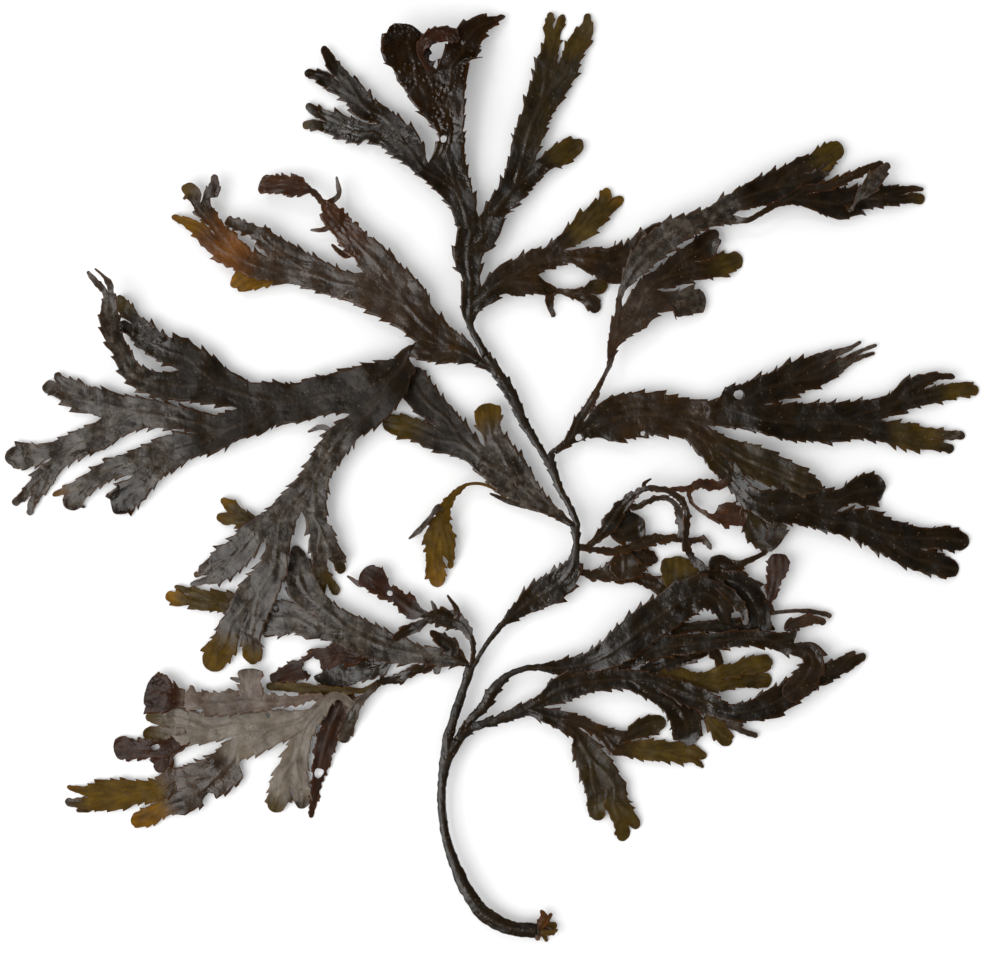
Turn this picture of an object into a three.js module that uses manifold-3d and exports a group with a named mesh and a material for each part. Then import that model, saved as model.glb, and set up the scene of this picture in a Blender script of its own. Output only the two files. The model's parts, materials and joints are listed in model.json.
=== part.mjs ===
// Dried serrated wrack, one whole frond lying on a table: a stem with a frayed
// holdfast, and flat brown blades that fork again and again to blunt tips.
// Millimetres, +Z up, the frond spread over the XY plane with the holdfast at -Y.
import * as THREE from "three";
import Module from "manifold-3d";

// ---- sizes of the living plant, dried ----
const TOOTH_PITCH = 6.7; // one tooth to the next along a blade's margin
const TOOTH_REACH = 1.7; // how far a strong tooth stands out
const TOOTH_ROOT = 0.6; // how far a tooth's root lies inside the blade's full width
const TOOTHED_FROM = 2.4; // half width of the narrowest blade that carries teeth
const STEM_PITCH = 8; // spacing of the sections on a bare stem
const RIB_STEM = 2.3; // thickness of the midrib at the holdfast
const RIB_BLADE = 0.9; // thickness of the midrib out in the blades
const RIB_FADE = 130; // path length over which the midrib thins
const CUP = 0.05; // margins lifted above the midrib, as a part of half width
const RUFFLE = 0.07; // waves of the margins, as a part of half width
const RUFFLE_LENGTH = 23; // from one wave to the next
const LEATHER = 0.05; // coarsest detail kept when crossing blades are joined

// ---- where a fork's notch lies, as a part of the width from the left margin ----
const NOTCH = {
  crown: 0.3,
  spire: 0.62,
  eastArm: 0.57,
  rustArm: 0.3,
  leftFan: 0.35,
  reach: 0.35,
  climb: 0.16,
  climbNorth: 0.68,
  northLow: 0.42,
  climbEast: 0.45,
  stalk: 0.38,
};

// ---- the blades: name, what it grows from, how, then stations from base to tip ----
// A station is x, y, height, half width and, where the blade is rolled, the roll in
// degrees. "L" and "R" take the left and right half of a fork, "on" grows from a midrib.
const BLADES = [
  // ---- the axis: holdfast, stem and winged stem, bottom of the frond to its middle
  ["stem", "", "", [
    [18, -181.8, 6, 2.9], [8, -180.5, 6, 3.1], [-2, -175.5, 6.5, 3.1], [-9.5, -165.5, 7, 2.7],
    [-14.5, -155, 7, 2.2], [-18, -144, 7, 1.9], [-19.6, -132, 7, 1.8], [-19.3, -121, 7, 1.9],
    [-17.5, -112, 7, 2.8], [-15.2, -105, 7, 4.2],
  ]],
  ["stemUp", "stem", "L", [
    [-15.5, -99, 7, 1.9], [-12.7, -90, 7, 1.9], [-10, -82, 7, 1.8], [-8.2, -76, 7, 2.1],
  ]],
  ["wing", "stemUp", "R", [
    [-4.5, -71.5, 7, 0.9], [0, -64.8, 7, 1.0], [4.5, -59.3, 6, 2], [11, -53.8, 5.5, 3.9],
    [18.8, -48.1, 5, 6], [27.2, -42.8, 5.5, 6.3], [31.9, -37.5, 7, 4.6], [33.5, -31, 8, 2.3],
    [34, -25, 8.5, 2.1], [33.5, -19.5, 8.5, 2.8],
  ]],
  ["axis", "wing", "R", [[31.3, -12, 8, 1.9], [27.5, -5, 7.5, 2.1], [25, 2, 7, 2.3], [22.5, 8.5, 7, 3.3]]],
  ["trunk", "axis", "L", [
    [17, 15, 7, 2.3], [12.5, 22.5, 7, 2.6], [9, 30.5, 7, 2.9], [5, 37.5, 7, 3], [1, 43, 7, 3.1],
    [-3.5, 47, 7, 4.4],
  ]],
  ["neck", "trunk", "R", [
    [-5.2, 54, 7.5, 2.2], [-8.2, 60, 8, 2.2], [-8.5, 65, 8, 3.8], [-3.9, 75.6, 8, 9.2],
  ]],
  // ---- crown and spire, at the top
  ["spine", "neck", "L", [
    [-9.2, 84.5, 8, 5.8], [-8.7, 91, 8, 6.7], [-5.2, 97.3, 8, 9.2], [-4.8, 103.3, 8, 10.8],
  ]],
  ["crown", "spine", "L", [[-12, 110, 8, 6.2], [-16.5, 119, 9, 8.5], [-21, 127, 10, 12.3]]],
  ["crownWest", "crown", "L", [[-33, 130.7, 9, 6.9], [-39.5, 136.6, 7, 7.4], [-45.2, 140.6, 6, 8.2]]],
  ["crownWestLow", "crownWest", "L", [[-51.5, 137, 5, 5], [-59, 139.6, 3, 5.4], [-66, 142, 2, 5]]],
  ["crownWestLowA", "crownWestLow", "L", [[-71.5, 141, 2, 2.2], [-75.5, 140.3, 1, 1.2]]],
  ["crownWestLowB", "crownWestLow", "R", [[-70.5, 146.5, 2, 2.2], [-74, 149, 3, 1.2]]],
  ["crownWestTop", "crownWest", "R", [[-49.8, 147, 6, 5.5], [-55, 153, 5, 5.4], [-60.6, 157.8, 4, 5.6]]],
  ["crownWestTopA", "crownWestTop", "L", [[-68, 159.8, 3, 3.2], [-74.7, 162, 2, 1.5]]],
  ["crownWestTopB", "crownWestTop", "R", [[-64, 165.5, 4, 2.7], [-67.2, 172, 5, 1.1]]],
  ["crownEast", "crown", "R", [
    [-16, 135.5, 11, 6.3], [-18, 144, 13, 8.6], [-20.7, 152, 14, 11.9], [-22.8, 160, 14, 15],
  ]],
  ["crownFlap", "crownEast", "L", [
    [-32.8, 166, 15, 7.9, 14], [-33.4, 172, 17, 7.9, 30], [-28.5, 176.3, 17, 4.4, 40],
    [-21.5, 175.3, 13, 2.8, 20], [-15.5, 173.5, 10, 1.4],
  ]],
  ["crownPoint", "crownEast", "R", [
    [-12, 168, 12, 7.2], [-9.3, 174.3, 10, 6.5], [-4.6, 179.7, 7, 4.6], [0.3, 181.9, 5, 2.9],
    [5.6, 184.2, 3, 0.8],
  ]],
  ["crownFold", "crownEast", "on", [[-22, 166, 13, 4.6], [-22.8, 171, 13, 4.4], [-23, 175.2, 13, 2.4]]],
  ["spire", "spine", "R", [[3.4, 108, 7, 5.3], [8.5, 114, 7, 6.2], [12.6, 121, 6, 7.8], [16, 127, 6, 9.4]]],
  ["spireSide", "spire", "R", [[27, 128.1, 4, 4.6], [32.7, 131.7, 3, 3.6], [36.5, 134.7, 2, 1.6]]],
  ["spireTop", "spire", "L", [
    [15, 136, 6, 6.7], [17.5, 143, 6, 6.3], [20.4, 150, 5, 7.3], [23.7, 157, 4, 8.2],
    [26.6, 164.5, 4, 9.4],
  ]],
  ["spireTipA", "spireTop", "L", [[24, 171.5, 3, 4], [25, 178.5, 2, 4]]],
  ["spireTipAL", "spireTipA", "L", [[23.8, 183, 2, 1.9], [23.8, 186, 2, 1]]],
  ["spireTipAR", "spireTipA", "R", [[28.3, 182.5, 2, 1.9], [29.3, 185, 1, 1]]],
  ["spireTipB", "spireTop", "R", [
    [33.5, 171, 3, 4.7], [36.7, 176.5, 2, 3.8], [38.7, 181.5, 2, 2.2], [38.5, 185.6, 1, 1],
  ]],
  // ---- east arm, right of the neck
  ["eastArm", "neck", "R", [[6, 77.8, 8, 7.3], [12, 79.6, 7, 8.2], [18.5, 81.6, 6, 9.7]]],
  ["eastSpur", "eastArm", "R", [
    [22.5, 74.5, 5, 3.2], [27.5, 74, 4, 1.5], [33, 73, 4, 3], [37, 72.5, 4, 4.2],
  ]],
  ["eastSpurA", "eastSpur", "L", [[41.5, 75.6, 3, 3.1], [46.8, 76.6, 2, 1.4]]],
  ["eastSpurB", "eastSpur", "R", [[40, 69.6, 3, 3.1], [43.1, 65.9, 2, 2]]],
  ["eastStub", "eastSpur", "on", [[23.4, 69, 4, 2], [25.4, 63.8, 2, 1.2]]],
  ["eastFork", "eastArm", "L", [[23, 87, 6, 5.2], [29, 90.2, 6, 6.3]]],
  ["eastLeaf", "eastFork", "L", [[34, 97, 5, 5], [40, 102.5, 4, 5.4], [45.5, 107.8, 3, 4.5]]],
  ["eastLeafA", "eastLeaf", "L", [[46, 112.3, 3, 2.5], [46.8, 115.5, 2, 1.3]]],
  ["eastLeafB", "eastLeaf", "R", [[50.3, 109.8, 2, 2.3], [53.2, 111.5, 1, 1.2]]],
  ["eastBlade", "eastFork", "R", [
    [36, 87, 6, 4.8], [42.5, 85.8, 6, 6.3], [49, 84.3, 5, 8.3], [56, 86.8, 4, 7.3], [62, 92.3, 4, 5.9],
    [67.5, 98, 4, 3.5], [71.3, 100.8, 4, 1.1],
  ]],
  // ---- rust arm, left of the neck
  ["rustArm", "trunk", "L", [
    [-10, 49, 7, 5.3], [-16, 51.3, 7, 7.4], [-22.3, 53.9, 7, 9.6], [-28, 57.2, 7, 11.6],
  ]],
  ["rustMid", "rustArm", "R", [[-34, 68.5, 8, 10.6], [-43, 75.3, 8, 12.1], [-51, 81.3, 8, 13.8]]],
  ["rustUp", "rustMid", "R", [
    [-53, 92.5, 8, 6.1], [-58.6, 98.5, 8, 5.6], [-63.5, 104.3, 9, 5.5], [-67.3, 108.3, 10, 4.9],
    [-71.8, 112.6, 11, 3.6], [-77.5, 115, 10, 4.6, 15], [-84.5, 116.6, 8, 5, 25],
    [-90.5, 117.3, 6, 3.8, 20],
  ]],
  ["rustSpike", "rustUp", "on", [[-60.8, 112, 9, 1.3], [-61.5, 119.3, 10, 0.4]]],
  ["rustHookA", "rustUp", "on", [[-66.5, 98.5, 7, 1.2], [-72.2, 98.3, 6, 0.4]]],
  ["rustHookB", "rustUp", "on", [[-57.5, 88, 7, 1.8], [-63.8, 92.6, 6, 0.5]]],
  ["rustOut", "rustMid", "L", [
    [-62, 77.3, 7, 6.6], [-70, 80.5, 7, 7], [-78, 83.5, 6, 7.9], [-89, 87.3, 6, 10],
  ]],
  ["rustEnd", "rustOut", "L", [[-97, 85.5, 6, 5.8], [-104, 90, 7, 6.5], [-110, 96, 7, 6.2]]],
  ["rustEndA", "rustEnd", "L", [[-116, 98, 6, 3.9], [-122, 101.5, 4, 2.6], [-128, 104.2, 2, 0.9]]],
  ["rustEndB", "rustEnd", "R", [[-112.5, 103.5, 8, 4], [-116, 108.8, 8, 4]]],
  ["rustEndBL", "rustEndB", "L", [[-119.2, 112.9, 7, 3.2], [-123.6, 115.6, 6, 1.4]]],
  ["rustEndBR", "rustEndB", "R", [[-110.6, 114.3, 9, 2.6], [-110, 120.2, 10, 1]]],
  ["rustFlap", "rustOut", "R", [[-95, 97.3, 7, 2.8], [-100, 99.7, 8, 1.6], [-107, 101.4, 8, 1]]],
  ["amberSpur", "rustOut", "on", [[-95, 79.6, 4, 3.4], [-99, 77.9, 3, 2.1], [-103.2, 76.4, 2, 0.5]]],
  // ---- left fan: one broad grey blade that forks again and again
  ["leftFan", "rustArm", "L", [
    [-34.5, 44.5, 8, 5.6, -20], [-40.5, 38.5, 9, 9.5], [-48, 33.2, 9, 12.8], [-58, 28.5, 8, 14.6],
  ]],
  ["fanWest", "leftFan", "R", [
    [-67, 32.3, 7, 8.6], [-77, 29.3, 6, 8.4], [-88, 28.8, 6, 9.6], [-96, 27, 6, 11.8],
    [-101.5, 27, 6, 14],
  ]],
  ["fanHigh", "fanWest", "R", [[-109, 36.3, 6, 9], [-117, 39.4, 7, 11.2], [-125, 42.3, 7, 13.2]]],
  ["fanHighA", "fanHigh", "R", [[-131, 50.8, 7, 6.1], [-137, 55, 6, 5.8], [-143, 60.4, 5, 5.2]]],
  ["fanHighTip", "fanHighA", "R", [[-146.5, 67, 4, 3.1], [-149.5, 72.3, 3, 1.3]]],
  ["fanHighNub", "fanHighA", "L", [[-147.3, 60, 5, 2.6], [-150.5, 58, 4, 1.3]]],
  ["fanHighB", "fanHigh", "L", [
    [-131.5, 36.8, 7, 6.2], [-138, 38.2, 8, 5.5], [-143.2, 41.7, 9, 4.8], [-146.9, 49.2, 12, 4.2, 20],
    [-150.2, 56.3, 15, 4.4, 35], [-151.2, 63, 17, 4.7, 25], [-150.8, 69, 18, 3.4], [-151.4, 73, 18, 3],
  ]],
  ["curlTipA", "fanHighB", "L", [[-155.6, 76, 18, 1.8], [-159.8, 81, 17, 0.7]]],
  ["curlTipB", "fanHighB", "R", [[-150.6, 75.4, 19, 1.6], [-153, 78.8, 19, 0.7], [-156.6, 82, 19, 0.4]]],
  ["fanOlive", "fanHighB", "on", [[-145.3, 46.5, 6, 2.3], [-147, 50.5, 6, 2.6], [-149, 55.8, 5, 1]]],
  ["fanLow", "fanWest", "L", [[-110, 17.5, 5, 8.1], [-118, 17, 5, 10]]],
  ["fanMid", "fanLow", "R", [
    [-127, 23.5, 5, 5.4], [-137, 25, 5, 6.5], [-147, 24.6, 4, 8.9], [-156, 23.3, 4, 13],
  ]],
  ["fanMidTop", "fanMid", "R", [[-162, 30.5, 3, 6.1], [-168, 33.3, 3, 6], [-173, 36, 3, 4.8]]],
  ["fanMidTopA", "fanMidTop", "L", [[-176.5, 35.3, 2, 2.9], [-180, 35.5, 2, 1.6]]],
  ["fanMidTopB", "fanMidTop", "R", [[-173.5, 39.2, 3, 2], [-173, 41.6, 3, 1]]],
  ["fanMidLow", "fanMid", "L", [[-162, 14, 4, 6.3], [-169, 11, 3, 6], [-176, 7, 3, 6.7]]],
  ["fanMidLowA", "fanMidLow", "R", [[-183, 8.7, 2, 4.8], [-189, 7.6, 2, 4.6], [-195, 6.8, 1, 2.4]]],
  ["fanMidLowB", "fanMidLow", "L", [[-178.1, 0.5, 3, 4.9], [-182.5, -5.2, 2, 4.5]]],
  ["fanMidLowBL", "fanMidLowB", "L", [[-184, -11, 2, 2], [-185.3, -15.8, 1, 1]]],
  ["fanMidLowBR", "fanMidLowB", "R", [[-188.3, -8.8, 2, 2.1], [-192, -11.3, 1, 1.2]]],
  ["fanSouth", "fanLow", "L", [[-126, 10.5, 4, 7.4], [-135, 5.9, 4, 8.1], [-143.3, 0.3, 4, 10.2]]],
  ["fanSouthA", "fanSouth", "R", [[-152, 2.6, 3, 4.8], [-159, -1.5, 3, 4.4], [-165.5, -6, 3, 5]]],
  ["fanSouthAL", "fanSouthA", "L", [[-167, -10, 2, 3.9], [-167.7, -13.8, 1, 2.6]]],
  ["fanSouthAR", "fanSouthA", "R", [[-170.8, -5.6, 2, 2.3], [-176, -7.8, 1, 0.8]]],
  ["fanSouthB", "fanSouth", "L", [[-145, -7, 3, 5.6], [-148.7, -10.9, 2, 4.7], [-151.6, -14.6, 1, 2.2]]],
  // ---- down fan, hanging from the left fan, grey on its face
  ["downFan", "leftFan", "L", [
    [-61, 14, 8, 6.4], [-65.8, 7, 8, 6.2], [-70, -0.6, 8, 6.2], [-72.9, -7.3, 8, 8.8],
    [-75.7, -14.2, 8, 12],
  ]],
  ["downSpur", "downFan", "on", [[-67.5, 19.6, 5, 1.2], [-73.3, 17.6, 4, 0.4]]],
  ["downEast", "downFan", "L", [[-68.3, -20, 8, 5.5], [-67, -27, 7, 6.1], [-65.4, -33, 6, 6.7]]],
  ["downEastA", "downEast", "L", [[-61, -35, 4, 2.9], [-59.5, -39, 2, 1.5]]],
  ["downEastB", "downEast", "R", [[-68.3, -38.5, 4, 3.8], [-65.7, -43, 3, 3.9]]],
  ["downEastBL", "downEastB", "L", [[-63, -45, 2, 2.1], [-62, -47.8, 1, 1.3]]],
  ["downEastBR", "downEastB", "R", [[-67.5, -45, 2, 1.8], [-68.3, -47.5, 1, 1]]],
  ["downWest", "downFan", "R", [[-85, -18.6, 8, 8], [-90, -25.6, 8, 11.4]]],
  ["downWestA", "downWest", "R", [[-101, -30.3, 6, 6.4], [-107.4, -35.5, 4, 6.8], [-113, -39.9, 3, 5]]],
  ["downWestAL", "downWestA", "L", [[-117.5, -42.7, 2, 1.6], [-120.7, -43.7, 1, 0.8]]],
  ["downWestAR", "downWestA", "R", [[-117, -39.5, 2, 1.6], [-119.2, -39.3, 2, 1]]],
  ["oliveFork", "downWest", "on", [[-95, -18.3, 5, 3], [-99, -17.2, 4, 4], [-102, -15.8, 3, 4.5]]],
  ["oliveForkA", "oliveFork", "R", [[-104.3, -12, 3, 2.7], [-108.4, -9.4, 2, 1.4]]],
  ["oliveForkB", "oliveFork", "L", [[-105.5, -17.3, 2, 2.6], [-110, -16, 1, 1.5]]],
  ["downSouth", "downWest", "L", [
    [-86, -33.5, 8, 6], [-88.7, -40.3, 7, 6.9], [-93.8, -47.7, 6, 8.6], [-97.2, -55, 5, 8.7],
    [-100.2, -61.5, 4, 9.5],
  ]],
  ["downSouthA", "downSouth", "L", [[-95.8, -67, 3, 3.9], [-95.7, -71, 2, 3.8], [-96, -75.5, 1, 2]]],
  ["downSouthB", "downSouth", "R", [[-107, -67.5, 3, 5.5], [-110, -72, 2, 5], [-113, -78, 1, 2.7]]],
  ["downOlive", "downSouth", "on", [[-106, -50.8, 3, 4.8], [-114, -49.8, 3, 4.7], [-120, -48.4, 2, 4.4]]],
  ["downOliveA", "downOlive", "R", [[-123, -45.5, 2, 1.6], [-127, -44.2, 2, 0.7]]],
  ["downOliveB", "downOlive", "L", [[-125, -49.3, 2, 2.7], [-130.5, -47.6, 1, 1.8]]],
  // ---- heart blade in the middle, with the little amber leaf hanging from it
  ["heart", "wing", "L", [
    [27.5, -15.8, 8, 2.6], [22, -12.2, 8, 3.7], [15.5, -7.3, 8, 6], [9, -1, 8, 8.6], [3, 5.5, 8, 9.5],
    [-2.5, 11.5, 8, 9.8],
  ]],
  ["heartTip", "heart", "R", [[0, 18.5, 8, 4.4], [-1, 23, 8, 4.9], [-1.6, 29, 7, 3.6]]],
  ["heartWest", "heart", "L", [[-13, 14, 6, 7.5], [-21, 19.5, 5, 10.4]]],
  ["heartWestA", "heartWest", "L", [[-29, 18, 3, 5], [-36, 20, 2, 4.4], [-43.5, 21.6, 1, 2]]],
  ["heartWestB", "heartWest", "R", [[-25, 29, 4, 6.6], [-30, 36, 3, 5.6], [-32, 43.5, 2, 3.5]]],
  ["heartStrand", "wing", "on", [
    [20, -13.6, 6, 1.3], [10, -11.2, 5, 1], [4, -8.9, 5, 0.9], [-0.5, -7, 6, 0.4],
  ]],
  ["stalk", "heart", "on", [
    [6, -7.5, 7, 1.2], [1, -4.8, 8, 0.7], [-5, -3, 8, 0.6], [-10.3, -3.7, 8, 0.7], [-14.5, -7, 8, 1.8],
    [-18, -11.5, 8, 3.2], [-19.5, -17, 7, 4.2], [-20.3, -22, 6, 6.3], [-20.4, -27.5, 5, 6.5],
    [-20.7, -31.5, 4, 6.2],
  ]],
  ["stalkLeafA", "stalk", "R", [[-22.3, -36.5, 3, 3.8], [-21.8, -40.5, 2, 3.4], [-21.4, -44.6, 1, 2]]],
  ["stalkLeafB", "stalk", "L", [[-16.5, -34, 3, 2], [-16.3, -37.2, 2, 0.9]]],
  ["stalkFold", "stalk", "on", [
    [-20.5, -12.5, 10, 1.9, 40], [-25, -17.5, 9, 1.7, 40], [-29, -22, 6, 1.1], [-33, -25.2, 3, 0.4],
  ]],
  // ---- right arm: reach, its two hands and the climbing branch
  ["reach", "axis", "R", [[28.5, 11.8, 7, 2.1], [33, 16, 7, 3.7], [38, 20, 7, 6.6]]],
  ["climb", "reach", "L", [
    [40.7, 30.5, 8, 2.5], [43.9, 37.5, 9, 1.6], [46.9, 44, 10, 2.1], [48.2, 51, 10, 2.7],
    [51.3, 57.8, 10, 5.1], [56.4, 64.3, 9, 8.3],
  ]],
  ["climbNorth", "climb", "L", [
    [51.3, 71, 9, 1.6], [54.1, 77.5, 10, 3.2], [59.3, 85.3, 11, 5.3], [65.8, 91.9, 11, 6.3],
    [72.8, 96.8, 11, 6], [80.3, 100.5, 10, 5], [88.2, 103.4, 10, 4.8], [95.6, 106.2, 9, 7],
  ]],
  ["northHigh", "climbNorth", "L", [
    [102.3, 111.4, 9, 5.6], [110.4, 114.3, 8, 6.3], [118.4, 117.8, 7, 6.7], [124.8, 120.9, 6, 7],
  ]],
  ["northHighA", "northHigh", "L", [[130.3, 125.5, 5, 4.3], [136, 129.4, 4, 4], [140.6, 132.7, 3, 2.6]]],
  ["northHighB", "northHigh", "R", [[130, 119.6, 6, 3.2], [133.7, 122.6, 5, 2.5], [137.4, 125.8, 4, 1.2]]],
  ["northLow", "climbNorth", "R", [
    [102, 101.8, 10, 1.6, 30], [107, 104.3, 10, 1.1, 50], [112, 107.3, 9, 1.6, 30],
    [119, 110.3, 8, 3.2], [126.5, 111.8, 7, 5.6],
  ]],
  ["northTwig", "northLow", "L", [
    [134, 115.8, 7, 2.8], [142, 119, 6, 2.5], [150, 122.7, 5, 2], [157, 125.4, 4, 1.2],
  ]],
  ["northFar", "northLow", "R", [
    [133, 109.4, 6, 5.8], [140, 108.9, 5, 7], [148, 111, 4, 5.3], [157, 112, 4, 4.9],
    [165, 112.5, 3, 4.4],
  ]],
  ["northFarA", "northFar", "L", [[169, 115.3, 2, 1.4], [173.5, 114.9, 2, 0.8]]],
  ["northFarB", "northFar", "R", [[170, 111.4, 2, 2.3], [174, 111, 1, 1.8]]],
  ["northFold", "northFar", "on", [
    [143.6, 106.2, 8, 1.8, 30], [146.7, 110.8, 9, 3.4, 30], [150.7, 115.5, 9, 3.6, 20],
    [155, 120.3, 8, 2.7], [159, 124.9, 7, 1.1],
  ]],
  ["climbEast", "climb", "R", [[61.6, 69.4, 8, 7.6], [66.8, 73.8, 7, 9]]],
  ["climbEastA", "climbEast", "R", [[73.7, 68.7, 6, 5.2], [79.7, 69.8, 5, 4.7], [86.2, 70.3, 3, 3.4]]],
  ["climbEastB", "climbEast", "L", [[71.5, 80.3, 6, 5.9], [77, 83.5, 5, 7.2], [81.5, 85.7, 5, 7.8]]],
  ["climbEastBL", "climbEastB", "L", [[85.3, 91.6, 4, 5], [88.2, 95.2, 4, 3.6], [90.5, 98.4, 4, 1.4]]],
  ["climbEastBR", "climbEastB", "R", [[88.3, 83.2, 3, 4.4], [94.6, 85.2, 2, 4], [101, 87.3, 1, 2.2]]],
  ["reachEast", "reach", "R", [
    [45.5, 21.1, 7, 8.7], [54, 23.8, 6, 9.8], [63, 24.6, 6, 9.3], [72, 24, 6, 8.7], [79.7, 22.7, 6, 9],
    [86.4, 20.2, 6, 12],
  ]],
  ["highHand", "reachEast", "L", [[93.2, 27.3, 6, 8.6], [101, 27.7, 6, 9.7], [109, 28.4, 6, 12.8]]],
  ["highFar", "highHand", "L", [[116.3, 36.8, 5, 6.9], [124.3, 40.2, 5, 7.1], [132.3, 42.8, 4, 6.7]]],
  ["highFarA", "highFar", "L", [[138.5, 49.3, 4, 2.3], [143, 50.8, 3, 1], [148.3, 53.9, 3, 0.7]]],
  ["highFarB", "highFar", "R", [[138, 43.2, 3, 3.9], [143.5, 46.8, 3, 2.3]]],
  ["highFarBL", "highFarB", "L", [[149, 50.5, 2, 0.9], [154.7, 52.6, 2, 0.7]]],
  ["highFarBR", "highFarB", "R", [[148.5, 47.8, 2, 0.9], [154, 49.4, 1, 0.8]]],
  ["palm", "highHand", "R", [
    [118, 21.7, 5, 8], [128, 21.5, 5, 8.2], [138, 21.5, 5, 8.7], [148, 22.5, 4, 8.2],
    [156, 22.5, 4, 9.4],
  ]],
  ["palmHigh", "palm", "L", [[161.5, 28.8, 4, 5.3], [167, 32.3, 4, 6.3], [173, 34.8, 4, 7]]],
  ["palmHighA", "palmHigh", "L", [[179, 40, 4, 2.3], [185.8, 39.5, 4, 0.8]]],
  ["palmHighB", "palmHigh", "R", [[180.5, 33.2, 3, 4], [188, 34.5, 2, 3.1], [195.7, 34.4, 1, 1.8]]],
  ["palmLow", "palm", "R", [[162.5, 16.8, 3, 5.4], [168.5, 15.8, 3, 5.9], [175, 14.7, 2, 4.9]]],
  ["palmLowA", "palmLow", "L", [[183, 16.3, 2, 2.3], [190.2, 16.2, 1, 1.6]]],
  ["palmLowB", "palmLow", "R", [[180, 12, 2, 2.2], [185.7, 10.5, 1, 1.5]]],
  ["lowHand", "reachEast", "R", [[91.6, 9.3, 6, 7.8]]],
  ["flap", "lowHand", "L", [
    [100, 8.2, 6, 6.4], [108, 4.5, 7, 7.2], [116, 1, 7, 6.6], [124, -2.3, 7, 4.8], [132, -5, 7, 2],
  ]],
  ["twist", "lowHand", "R", [
    [95, 1.7, 6, 5.3], [99.5, -4.5, 7, 4.6, 25], [104.5, -9.5, 8, 5.4, 10], [112, -12, 8, 7],
    [121, -12.2, 7, 7.6], [130, -13, 6, 8.6], [138, -14.2, 6, 9.5],
  ]],
  ["farHigh", "twist", "L", [
    [143.5, -7, 5, 4.7], [149.5, -5.6, 4, 5.9], [154.6, -5, 3, 4.9], [158.2, -4.8, 2, 2.8],
  ]],
  ["farLow", "twist", "R", [
    [148, -19.5, 5, 7.1], [156, -23, 4, 7.9], [164, -26.5, 4, 8.3], [172, -29.2, 3, 9.5],
  ]],
  ["farLowA", "farLow", "L", [[179.5, -24.8, 3, 4.8], [186, -25.5, 2, 4.3], [191.7, -27.4, 1, 2.2]]],
  ["farLowB", "farLow", "R", [[178, -35, 2, 4.7], [183.5, -36.8, 2, 3.8], [187.8, -37, 1, 2.2]]],
  ["drop", "twist", "on", [
    [103, -14, 6, 3.6], [105.2, -20.3, 5, 4.8], [108.2, -26, 4, 3.6], [110.4, -31, 3, 1],
  ]],
  ["dropCurl", "drop", "on", [
    [111.6, -27.5, 5, 2.8], [113.3, -23.5, 7, 4, 25], [114.4, -18.5, 10, 3.5, 25],
  ]],
  // ---- the loops left of the drop
  ["archLink", "twist", "on", [
    [91, -3.7, 6, 2.5], [84, -3.3, 7, 2.5], [78, -5, 8, 1.4], [71.5, -5.2, 9, 0.9],
  ]],
  ["arch", "wing", "on", [
    [37.8, -28.3, 8, 1.5], [43, -24.5, 8, 2.4], [48, -18.5, 8, 3.9], [52, -12.5, 8, 3.3],
    [57, -7.5, 9, 2.1], [62, -5, 10, 1.2], [68, -5.2, 10, 1], [74, -8, 9, 1.7], [78, -13.5, 8, 2],
    [78.2, -20, 7, 1.9], [77.8, -27, 7, 1.9], [81, -33.5, 6, 2], [86.5, -39.5, 6, 2.6],
  ]],
  ["archSpur", "arch", "on", [[61, -3.2, 8, 0.8], [64, -1, 8, 0.3]]],
  ["archInner", "arch", "on", [
    [57, -12.4, 7, 1.4], [63, -10, 7, 1.8], [70, -8.6, 7, 2], [74.6, -12, 6, 2.2], [75.8, -18, 5, 1.7],
    [76, -25, 5, 1.2],
  ]],
  ["archThorn", "archInner", "on", [[73.7, -13, 5, 1], [73.8, -15.6, 4, 0.4]]],
  ["archLeaf", "arch", "on", [[51, -21.5, 6, 4.2], [56.5, -20, 5, 5.8], [61.3, -17.6, 5, 2.2]]],
  ["thread", "archLink", "on", [
    [80, -10.3, 6, 0.9], [84.5, -14.3, 6, 0.8], [88.5, -16.3, 6, 1.6], [92.5, -15.8, 6, 4.4],
    [97, -15.6, 6, 4], [102.5, -15.5, 6, 3],
  ]],
  ["strap", "wing", "on", [
    [42, -29.5, 7, 1.9], [50, -30, 6, 2.2], [57, -28.3, 5, 2.9], [64, -25.6, 4, 2.8],
    [71, -25, 3, 2.3], [79, -25.9, 3, 1.6], [85.5, -25.8, 3, 1.6], [88.3, -29.5, 3, 0.5],
  ]],
  ["strapWeb", "strap", "on", [[53, -32.5, 5, 4.4], [53.5, -37.5, 4, 5], [54, -41, 3, 2.6]]],
  ["under", "wing", "on", [
    [40.5, -39.6, 4, 2.4], [48, -38.3, 4, 4.4], [55, -35.9, 4, 5.9], [61.5, -32.7, 3, 4.3],
    [67, -33.8, 2, 1.4],
  ]],
  ["underLow", "under", "on", [
    [50, -41, 3, 1.9], [58, -40.7, 3, 2.7], [65, -42.9, 3, 3], [71, -46, 3, 2.8],
  ]],
  // ---- lower right thicket, from the knee of the stem
  ["knee", "stem", "R", [[-10, -101.3, 7, 3.2], [-6.5, -98.2, 7, 4.3]]],
  ["kneeHigh", "knee", "L", [
    [-2.5, -91.5, 7, 3], [1, -85.5, 7, 2.9], [6, -80.2, 7, 2.1], [13, -77, 7, 1.3],
    [21, -76.5, 7, 2.4], [30, -76.4, 7, 4.3], [38, -75, 7, 4.8], [46, -71.5, 8, 6.2],
    [54, -66, 9, 7.7], [61, -60.2, 9, 8], [69, -54.8, 9, 7.9], [76.5, -49.3, 9, 8.2],
    [84.8, -46.6, 9, 7], [90, -49.3, 8, 5], [93, -54.5, 7, 3.2], [95.4, -59.5, 5, 1.2],
  ]],
  ["olivePlume", "kneeHigh", "on", [
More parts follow.
